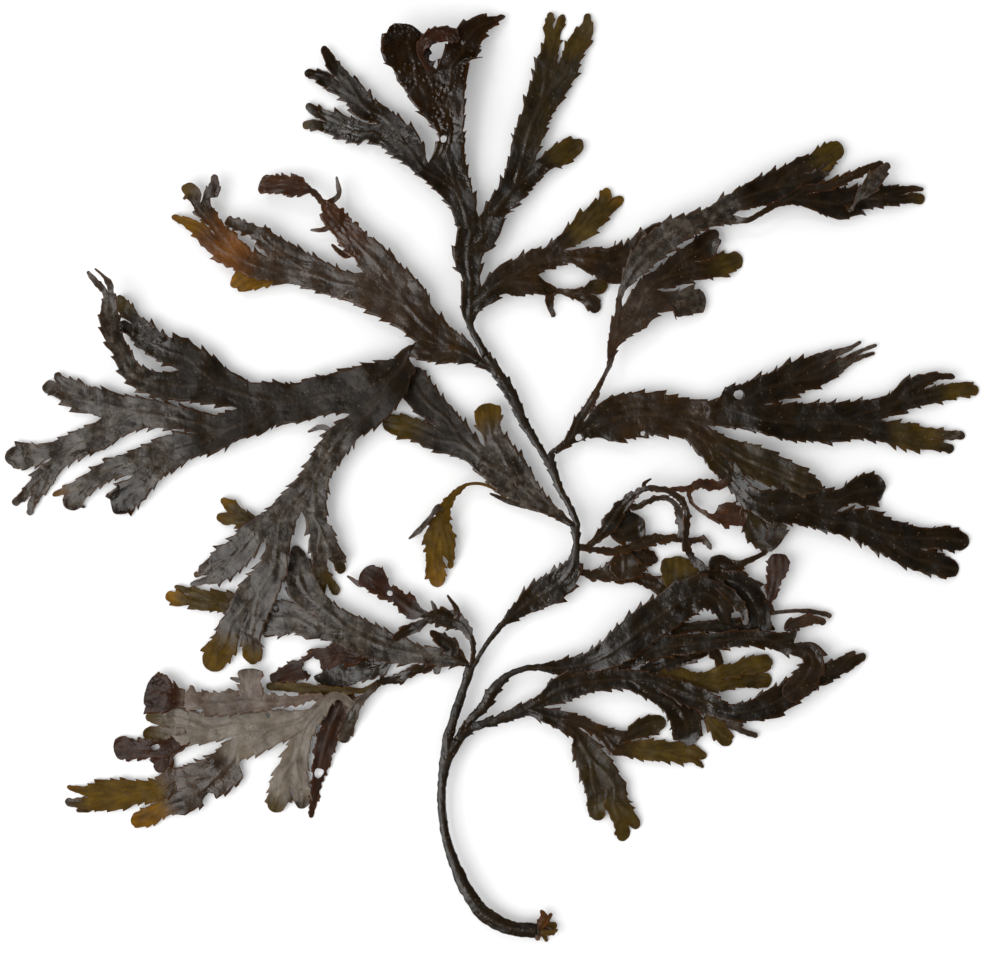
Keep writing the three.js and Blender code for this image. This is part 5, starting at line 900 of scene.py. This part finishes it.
# %% [markdown]
# ## Growing a blade from a grid
#
# A blade starts as a plain grid, many faces long and twenty across, and each corner is
# moved to its place on the blade. At a fork the last row is cut once more between its
# corners, which gives each arm a full row of its own to start from. The arms then weld
# to the blade point by point, so the skin runs through a fork without a seam.

# %% Places of the rows
ROW = 0.6  # spacing of the cross-sections
STEM_ROW = 1.0  # and where a blade is narrow
NARROW = 2.2  # half width up to which it is


def rows_of(blade):
    """Distances along the blade at which a cross-section is made."""
    places = [0.0]
    rounding = 0.0 if blade.forked else min(1.25 * blade.course.at(blade.length)[3], 3.2)
    body = blade.length - rounding
    while places[-1] < body - 0.3:
        width = blade.course.at(places[-1])[3]
        places.append(places[-1] + (ROW if width > NARROW else STEM_ROW))
    places = [u * body / places[-1] for u in places]
    if not blade.forked:
        places += [body + rounding * math.sin(math.radians(a)) for a in (22, 42, 58, 72, 82)]
        places.append(blade.length)
    return places


print("a row every", ROW, "to", STEM_ROW, "mm, and", ACROSS, "faces across")

# %% [markdown]
# ### What each point carries
#
# The material later needs to know things that only the blade knows: its tone, how much
# film and painted sheen lies on it, how near the margin is, whether it is leaf or stem,
# and where the slime dried into blisters. Each point gets them as named attributes.
# Painting them on by hand would give the same, but would have to be done again after
# each change.

# %% Dressing a point
THICKEST = 3.2  # the wall of a point whose thickness says 1
RIM = 0.45  # how far the thin rim reaches into a blade

# How strongly the slime has dried into blisters, on the blades where it has.
BLISTERED = {
    "crownEast": 0.9,
    "crownFlap": 1.0,
    "crownPoint": 0.5,
    "crownFold": 0.6,
    "rustEnd": 0.4,
    "rustUp": 0.4,
    "rustPaw": 0.6,
    "rustPawLow": 0.6,
    "teePaw": 0.6,
}
BLISTER_PATCH = 9  # from one patch of blisters to the next


def dress_point(layers, corner, row, t):
    """Writes on a point what it is like: tone, film and painted sheen, gloss, place, blisters,
    thickness.
    """
    from_margin = (0.5 - abs(t - 0.5)) * 2 * row.half
    # The film share also paints the light's sheen on as grey.
    *tone, film, matt = row.blade.tone_at(row.u)
    corner[layers["tone"]] = (*tone, 1)
    corner[layers["film"]] = film
    corner[layers["matt"]] = matt
    corner[layers["margin"]] = math.exp(-((from_margin / RIM) ** 2)) * (1 - row.stem)
    corner[layers["leafy"]] = 1 - row.stem
    patch = smooth(0.45 + 1.6 * noise.noise(corner.co / BLISTER_PATCH))
    corner[layers["blister"]] = BLISTERED.get(row.blade.name, 0) * smooth(row.u / 6) * patch
    corner[layers["thick"]][0] = row.thickness(t) / THICKEST


print(len(BLISTERED), "blistered blades")


# %% One blade's skin
def skin_grid(bm, rows):
    """A grid, its corners by row and column. Column 0 is the left margin."""
    steps = len(rows) - 1
    made = bmesh.ops.create_grid(bm, x_segments=ACROSS, y_segments=steps, size=1)
    net = [[None] * (ACROSS + 1) for _ in rows]
    for corner in made["verts"]:
        j = round((corner.co.x + 1) / 2 * ACROSS)
        i = round((corner.co.y + 1) / 2 * steps)
        net[i][j] = corner
    return net


def grow(bm, layers, blade):
    """Makes the blade's skin and opens its fork, if it has one."""
    rows = [Row(blade, u) for u in rows_of(blade)]
    net = skin_grid(bm, rows)
    spots = {}
    shift = [Vector()] * (ACROSS + 1)
    if blade.birth:
        own = [point_on(rows[0], rows[0].share(j)) for j in range(ACROSS + 1)]
        shift = [there - here for there, here in zip(blade.birth["row"], own)]
    for row, corners in zip(rows, net):
        fading = 1 - smooth(row.u / (JOIN * blade.birth["width"])) if blade.birth else 0
        for j, corner in enumerate(corners):
            t = row.share(j)
            corner.co = point_on(row, t) + shift[j] * fading
            dress_point(layers, corner, row, t)
            spots[corner] = (row.beside_rib(t), row.u)
    if blade.forked:
        open_fork(bm, layers, blade, rows[-1], net[-1], spots)
    unroll(layers, blade, spots)


def open_fork(bm, layers, blade, row, corners, spots):
    """Cuts the last row between its corners, and notes where each arm starts."""
    edge_row = [corners[0]]
    for j in range(ACROSS):
        edge = bm.edges.get((corners[j], corners[j + 1]))
        middle = bmesh.utils.edge_split(edge, corners[j], 0.5)[1]
        t = (row.share(j) + row.share(j + 1)) / 2
        middle.co = (corners[j].co + corners[j + 1].co) / 2
        dress_point(layers, middle, row, t)
        spots[middle] = (row.beside_rib(t), row.u)
        edge_row += [middle, corners[j + 1]]
    places = [corner.co.copy() for corner in edge_row]
    blade.arms = {}
    for how, start in (("L", places[: ACROSS + 1]), ("R", places[ACROSS:])):
        centre = start[ACROSS // 2]
        edge = start[0] if how == "L" else start[-1]
        blade.arms[how] = {
            "middle": centre,
            "width": (edge - centre).length,
            "side": row.left,
            "row": start,
        }


def unroll(layers, blade, spots):
    """Lays the blade out flat in its UV map: beside the rib, and along it."""
    for corner, (across, along) in spots.items():
        for loop in corner.link_loops:
            loop[layers["lie"]].uv = (across * MM, (along + blade.phase * 50) * MM)


print("an arm leaves its fork over", JOIN, "widths")

# %% [markdown]
# ## Growing the whole frond
#
# The stem grows first, and then each blade after the one that carries it. A blade that
# grows "on" another starts inside the nearest stretch of its midrib. The frond is kept
# as a few limbs, each its own piece, cut where the blades are narrow or where one blade
# grows on another.

# %% Limbs
LIMBS = {
    "stem": "stem_and_axis",
    "neck": "crown_limb",
    "rustArm": "left_limb",
    "heart": "heart_blade",
    "reach": "right_limb",
    "west": "lower_left_limb",
    "wisp": "lower_left_limb",
    "arch": "looping_strands",
    "archLink": "looping_strands",
    "strap": "looping_strands",
    "under": "looping_strands",
    "knee": "lower_right_limb",
}


def new_skin():
    """An empty mesh with a layer for everything that a point carries."""
    bm = bmesh.new()
    verts = bm.verts.layers
    layers = {
        "tone": verts.float_color.new("tone"),
        "film": verts.float.new("film"),
        "margin": verts.float.new("margin"),
        "matt": verts.float.new("matt"),
        "leafy": verts.float.new("leafy"),
        "blister": verts.float.new("blister"),
        "thick": verts.deform.new("thickness"),
        "lie": bm.loops.layers.uv.new("lie"),
    }
    return bm, layers


def in_growing_order(blades):
    """Every blade after the one that it grows from."""
    order = []
    waiting = list(blades.values())
    while waiting:
        grown = {blade.name for blade in order} | {""}
        ready = [blade for blade in waiting if blade.parent in grown]
        order += ready
        waiting = [blade for blade in waiting if blade not in ready]
    return order


print(len(set(LIMBS.values())), "limbs")

# %% [markdown]
# ### Where a blade starts
#
# An arm of a fork starts from its half of the fork's last row. A blade that grows on
# another starts in the midrib, a little narrower than its own first station, so that
# its root stays hidden. If that root is right at the first station, it takes its place.

# %% The frond
RIB_STEP = 0.5  # spacing of the places that are tried along a midrib
SAME_PLACE = 1.5  # how near a root is to its station to replace it


def rooted_on(parent, station):
    """The start of a blade that grows on another: inside the nearest stretch of its rib."""
    spot = Vector(station[:2])
    steps = int(parent.length / RIB_STEP)
    courses = [parent.course.at(k * RIB_STEP) + [k * RIB_STEP] for k in range(steps + 1)]
    x, y, z, width, _, u = min(courses, key=lambda p: (Vector(p[:2]) - spot).length)
    start = [x, y, z, min(0.9 * station[3], 0.8 * max(NARROWEST, width))]
    return start, u


def grow_frond():
    """Grows every blade, and returns the skins by the name of their limb."""
    dice = random.Random(20531)
    blades = {row[0]: Blade(row, dice) for row in BLADES}
    skins = {}
    for blade in blades.values():
        blade.forked = any(b.parent == blade.name and b.how != "on" for b in blades.values())
    for blade in in_growing_order(blades):
        stations = blade.stations
        parent = blades.get(blade.parent)
        blade.limb = LIMBS.get(blade.name) or parent.limb
        if blade.how == "on":
            start, u = rooted_on(parent, stations[0])
            near = math.dist(start[:2], stations[0][:2]) < SAME_PLACE
            stations = [start] + (stations[1:] if near else stations)
            blade.age = parent.age + u
            blade.start_tone = parent.tone_at(u)
        elif parent:
            blade.birth = parent.arms[blade.how]
            stations = [[*blade.birth["middle"], blade.birth["width"]]] + stations
            blade.age = parent.age + parent.length
            blade.start_tone = parent.tone_at(parent.length)
        blade.follow(stations)
        if blade.limb not in skins:
            skins[blade.limb] = new_skin()
        grow(*skins[blade.limb], blade)
    return skins


SKINS = grow_frond()
print({limb: len(bm.faces) for limb, (bm, _) in SKINS.items()})

# %% [markdown]
# ## Holes, welds and thickness
#
# The arms are welded to their blades, the worn holes are cut out face by face and their
# rims drawn to a circle, and a Solidify modifier gives the skin its thickness: about
# 0.4 mm in the thin blade, and more along the midrib and the stem, as the vertex group
# says.

# %% Holes
# Small round holes worn through the blades, and one bite out of a margin: x, y, radius.
HOLES = [
    (-112.4, -129.8, 2.8),
    (99, 32.5, 1.8),
    (-69, -119, 1.8),
    (-71.5, -76.7, 3.9),
    (-134.5, -108.7, 1.5),
    (-86.3, -53, 1.0),
    (-19, 134, 1.2),
    (-21.9, 169.6, 2.3),
    (-23, 166, 1.6),
    (35, 15.5, 1.3),
    (38.5, 14.5, 0.9),
    (60.5, 17, 0.9),
    (-89, -95.7, 0.9),
    (-40.5, -47, 1.1),
    (-51, -50.5, 1.2),
]


def wear_hole(bm, x, y, radius):
    """Cuts a round hole through the skin and draws its rim to the circle."""
    centre = Vector((x, y))
    worn = [f for f in bm.faces if (f.calc_center_median().xy - centre).length < radius]
    if not worn:
        return
    rim = {v for f in worn for v in f.verts}
    bmesh.ops.delete(bm, geom=worn, context="FACES")
    for corner in rim:
        if corner.is_valid and corner.link_faces:
            out = corner.co.xy - centre
            ragged = radius * (1 + 0.5 * noise.noise(Vector((out.x, out.y, x)) * 0.5))
            corner.co.xy = centre + out.normalized() * ragged


print(len(HOLES), "holes")

# %% Finishing a limb
WELD = 0.002  # points of two blades that lie closer than this are one
WEST_TIP = min(station[0] for row in BLADES for station in row[4])
SOUTH_TIP = min(station[1] for row in BLADES for station in row[4])
TO_FRAME = Vector((CAD_LOW.x / MM - WEST_TIP, CAD_LOW.y / MM - SOUTH_TIP, -REST))


def finished_limb(name, bm):
    """The limb as an object in metres, in the frame of the solid."""
    bmesh.ops.remove_doubles(bm, verts=bm.verts, dist=WELD)
    for hole in HOLES:
        wear_hole(bm, *hole)
    bmesh.ops.translate(bm, verts=bm.verts, vec=TO_FRAME)
    bmesh.ops.scale(bm, verts=bm.verts, vec=(MM, MM, MM))
    for face in bm.faces:
        face.smooth = True
    mesh = bpy.data.meshes.new(name)
    bm.to_mesh(mesh)
    bm.free()
    limb = bpy.data.objects.new(name, mesh)
    bpy.context.scene.collection.objects.link(limb)
    limb.vertex_groups.new(name="thickness")
    wall = limb.modifiers.new("thickness of the blade", "SOLIDIFY")
    wall.thickness = THICKEST * MM
    wall.offset = 0
    wall.vertex_group = "thickness"
    wall.thickness_vertex_group = 0
    return limb


limbs = {name: finished_limb(name, bm) for name, (bm, _) in SKINS.items()}
print({name: len(limb.data.polygons) for name, limb in limbs.items()})

# %% [markdown]
# ## The material: dried seaweed
#
# Dried wrack looks like thin leather: a dark skin with a low, uneven gloss, since slime
# has dried on it in thin and thick films. Its colour comes from the blade's own tone,
# which each point carries, and three things vary it: broad clouds about a centimetre
# across, fine streaks that run lengthwise, and the pale pores that dot a wrack's blade.
# The rim is thinner and lets light through, so it shows orange-brown. The wrinkles are
# far too fine to model and are made as bump.

# %% Helper for shader nodes
def add(tree, kind, inputs=(), **settings):
    """Adds a node, sets it up, and fills its sockets with values or other nodes' outputs."""
    node = tree.nodes.new(kind)
    for name, value in settings.items():
        setattr(node, name, value)
    for socket, value in dict(inputs).items():
        if isinstance(value, bpy.types.NodeSocket):
            tree.links.new(value, node.inputs[socket])
        else:
            node.inputs[socket].default_value = value
    return node


def per_metre(millimetres):
    """The scale of a pattern whose features are that many millimetres apart."""
    return 1 / (millimetres * MM)


print("a pattern 1 mm apart has the scale", per_metre(1))

# %% [markdown]
# ### Dried wrack leather
#
# Colour: the blade's tone, clouded between 0.45 and 1.25 of itself over 9 mm, streaked
# along the blade every 1.5 mm, covered in patches by grey film that is partly painted
# sheen, dotted with pores about 0.6 mm across and 3.1 mm apart, warmed along the rib,
# and painted orange-brown along the rim as a glow of light let through it.
# Roughness: 0.18 where slime dried smooth and 0.42 between, 0.12 more where film or a
# matt tone dulls it, and 0.08 less on blisters. Matt skin, as on the thin tips, also
# mirrors less, so its specular level falls from the usual 0.5.
# Relief: wrinkles 1.2 mm apart, puckers 3.5 mm apart, creases 2 mm apart that run
# lengthwise, a low ridge over the rib, and blisters 1.9 mm apart. The real wrinkles are
# finer still; these are as coarse as they need to be to show.

# %% Dried wrack leather
def dried_wrack_leather():
    """Leathery seaweed skin, dried in the air under its own slime."""
    material = bpy.data.materials.new("dried wrack leather")
    material.use_nodes = True
    tree = material.node_tree
    tree.nodes.clear()
    place = add(tree, "ShaderNodeTexCoord").outputs["Object"]
    lie = add(tree, "ShaderNodeUVMap", uv_map="lie").outputs["UV"]
    along = {"Vector": lie, "Scale": (1, 0.22, 1)}
    drawn = add(tree, "ShaderNodeMapping", along).outputs["Vector"]
    from_rib = add(tree, "ShaderNodeSeparateXYZ", {"Vector": lie}).outputs["X"]
    aside = add(tree, "ShaderNodeMath", {0: from_rib}, operation="ABSOLUTE").outputs[0]

    # What each point of the mesh says of itself.
    given = {}
    for name in ("tone", "film", "matt", "margin", "leafy", "blister"):
        given[name] = add(tree, "ShaderNodeAttribute", attribute_name=name).outputs
    film, matt, leafy = given["film"]["Fac"], given["matt"]["Fac"], given["leafy"]["Fac"]
    margin, blister = given["margin"]["Fac"], given["blister"]["Fac"]

    # Uneven patterns: where they lie, the size of their features, detail, harshness.
    uneven = {}
    for name, vector, size, detail, harshness in (
        ("clouds", place, 9, 6, 0.6),
        ("streaks", drawn, 1.5, 4, 0.6),
        ("film patches", place, 4, 9, 0.75),
        ("film streaks", drawn, 1.6, 4, 0.6),
        ("slime", place, 7, 4, 0.6),
        ("wrinkles", place, 1.2, 3, 0.6),
        ("puckers", place, 3.5, 2, 0.6),
        ("creases", drawn, 2, 3, 0.6),
    ):
        pattern = {"Vector": vector, "Scale": per_metre(size), "Detail": detail}
        pattern["Roughness"] = harshness
        uneven[name] = add(tree, "ShaderNodeTexNoise", pattern).outputs["Fac"]
    spots = {"Vector": place, "Scale": per_metre(3.1)}
    to_pore = add(tree, "ShaderNodeTexVoronoi", spots).outputs["Distance"]
    cells = {"Vector": place, "Scale": per_metre(1.9), "Smoothness": 0.5}
    domes = add(tree, "ShaderNodeTexVoronoi", cells, feature="SMOOTH_F1").outputs["Distance"]
    # Patches of grey film, partly dried bloom and partly painted sheen.
    sheen_patch_share = {0: film, 1: 0.4, 2: uneven["film patches"]}
    sheen_patches = add(tree, "ShaderNodeMath", sheen_patch_share, operation="MULTIPLY_ADD").outputs[0]

    # The patterns again, each spread over the range that its part of the look needs.
    spread = {}
    for name, value, low, high, to_low, to_high in (
        ("clouds", uneven["clouds"], 0.3, 0.7, 0.45, 1.25),
        ("streaks", uneven["streaks"], 0.3, 0.7, 0.7, 1.35),
        ("film", sheen_patches, 0.64, 0.9, 0.0, 0.75),
        ("film streaks", uneven["film streaks"], 0.38, 0.58, 0.4, 1.0),
        ("pores", to_pore, 0.06, 0.13, 0.3, 0.0),
        ("rib", aside, 0.0002, 0.0011, 1.0, 0.0),
        ("slime", uneven["slime"], 0.35, 0.65, 0.18, 0.42),
    ):
        ends = {"Value": value, "From Min": low, "From Max": high}
        ends.update({"To Min": to_low, "To Max": to_high})
        spread[name] = add(tree, "ShaderNodeMapRange", ends).outputs["Result"]

    # Products of two of them.
    product = {}
    for name, one, other in (
        ("shade", spread["clouds"], spread["streaks"]),
        ("painted sheen coat", spread["film"], spread["film streaks"]),
        ("rib", spread["rib"], leafy),
        ("rib tint", spread["rib"], 0.12),
        # the rim's painted glow of light let through the thin margin
        ("rim glow", margin, 0.28),
        ("blisters", domes, blister),
        ("film dulls", spread["film"], 0.12),
        ("matt dulls", matt, 0.12),
        ("blister gloss", blister, -0.08),
        ("matt mirrors less", matt, -0.3),
    ):
        pair = {0: one, 1: other}
        product[name] = add(tree, "ShaderNodeMath", pair, operation="MULTIPLY").outputs[0]

    # The colour: the clouded and streaked tone under film and painted sheen, pores, rib, and the
    # rim's painted glow.
    shaded = {0: given["tone"]["Color"], "Scale": product["shade"]}
    colour = add(tree, "ShaderNodeVectorMath", shaded, operation="SCALE").outputs["Vector"]
    for share, over in (
        # grey film, partly painted sheen
        (product["painted sheen coat"], "#6b6256"),
        (spread["pores"], "#7d6748"),
        (product["rib tint"], "#4a3826"),
        # painted glow of light let through the thin rim
        (product["rim glow"], "#5a3210"),
    ):
        blend = {"Factor": share, 6: colour, 7: (*linear(over), 1)}
        colour = add(tree, "ShaderNodeMix", blend, data_type="RGBA").outputs[2]

    # The gloss: slime, made duller by film and matt skin, and smoother by blisters.
    roughness = spread["slime"]
    for more in ("film dulls", "matt dulls", "blister gloss"):
        sum_of = {0: roughness, 1: product[more]}
        roughness = add(tree, "ShaderNodeMath", sum_of, operation="ADD").outputs[0]
    sum_of = {0: product["matt mirrors less"], 1: 0.5}
    mirrors = add(tree, "ShaderNodeMath", sum_of, operation="ADD").outputs[0]

    # The relief: each pattern with its strength, and its depth in millimetres.
    relief = {}
    for height, strength, depth in (
        (uneven["wrinkles"], 0.6, 0.08),
        (uneven["puckers"], 1.0, 0.4),
        (uneven["creases"], 1.0, 0.1),
        (product["rib"], 0.5, 0.14),
        (product["blisters"], 1.0, -0.8),
    ):
        bump = {"Height": height, "Strength": strength, "Distance": depth * MM, **relief}
        relief = {"Normal": add(tree, "ShaderNodeBump", bump).outputs["Normal"]}

    surface = {"Base Color": colour, "Roughness": roughness, "Specular IOR Level": mirrors}
    surface.update(relief)
    leather = add(tree, "ShaderNodeBsdfPrincipled", surface).outputs["BSDF"]
    add(tree, "ShaderNodeOutputMaterial", {"Surface": leather})
    return material


LEATHER = dried_wrack_leather()
print(LEATHER.name, "has", len(LEATHER.node_tree.nodes), "nodes")

# %% [markdown]
# ### Dressing the limbs
#
# Each limb gets the leather, rides the one body of the frame, and takes the place of
# the plain solid there.

# %% Limbs in leather
for limb in limbs.values():
    limb.data.materials.append(LEATHER)
    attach(limb, "root")
    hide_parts("wrack")
print(len(limbs), "limbs dressed")

# %% [markdown]
# ## The table, the light and the camera
#
# A plain white table top of matt laminate, so large that its edge never shows. It has no
# gloss at all, which leaves the shadows soft and plain.

# %% Table
TABLE_SIDE = 4  # metres
bm = bmesh.new()
bmesh.ops.create_grid(bm, x_segments=1, y_segments=1, size=TABLE_SIDE)
table_mesh = bpy.data.meshes.new("table_top")
bm.to_mesh(table_mesh)
bm.free()
table_top = bpy.data.objects.new("table_top", table_mesh)
bpy.context.scene.collection.objects.link(table_top)
laminate = bpy.data.materials.new("matt white laminate")
laminate.use_nodes = True
for socket, value in (
    ("Base Color", (0.85, 0.85, 0.85, 1)),
    ("Roughness", 1.0),
    ("Specular IOR Level", 0.0),
):
    laminate.node_tree.nodes["Principled BSDF"].inputs[socket].default_value = value
table_mesh.materials.append(laminate)
print(table_top.name, "of", laminate.name)

# %% [markdown]
# An even white surrounding lights the table nearly to white, and isn't mirrored in the
# slime, which would turn the dark skin grey. A big soft light from the lower left, low
# enough to draw the folds, and a small one from the upper left give the gloss.

# %% Light
SURROUNDING = 0.8  # a little less than white, so that the softboxes still show
world = bpy.data.worlds.new("white surrounding")
bpy.context.scene.world = world
world.use_nodes = True
world.node_tree.nodes["Background"].inputs["Color"].default_value = (1, 1, 1, 1)
world.node_tree.nodes["Background"].inputs["Strength"].default_value = SURROUNDING
world.cycles_visibility.glossy = False


def softbox(name, size, watts, place):
    """A square soft light that faces the frond."""
    light = bpy.data.lights.new(name, "AREA")
    light.shape = "SQUARE"
    light.size = size
    light.energy = watts
    box = bpy.data.objects.new(name, light)
    bpy.context.scene.collection.objects.link(box)
    box.location = place
    box.rotation_euler = (-box.location).to_track_quat("-Z", "Y").to_euler()
    print(name, "of", watts, "watts")


softbox("large softbox", 1.1, 13, (-0.75, -0.35, 1.05))
softbox("small softbox", 0.16, 1.4, (-0.5, 0.7, 1.05))

bpy.context.scene.view_settings.view_transform = "Standard"

# %% [markdown]
# The camera hangs 1.2 m above the frond and looks straight down, with a long lens, so
# that the blades show their true outline and little perspective.

# %% Camera
ABOVE = 1.2  # metres
ASIDE = (3.25 * MM, -1.25 * MM)  # the middle of the picture is beside that of the frond
lens = bpy.data.cameras.new("camera")
lens.sensor_width = 36
lens.lens = 107.6
camera = bpy.data.objects.new("camera", lens)
camera.location = (*ASIDE, ABOVE)
bpy.context.scene.collection.objects.link(camera)
bpy.context.scene.camera = camera
print("the camera sees", round(ABOVE * lens.sensor_width / lens.lens / MM), "mm of the table")

# %% [markdown]
# ## The size of the solid
#
# The skin has to stay in the solid's box. The solid's size is printed.

# %% Size of the solid
print("solid", [round(side / MM, 1) for side in CAD_HIGH - CAD_LOW], "mm")
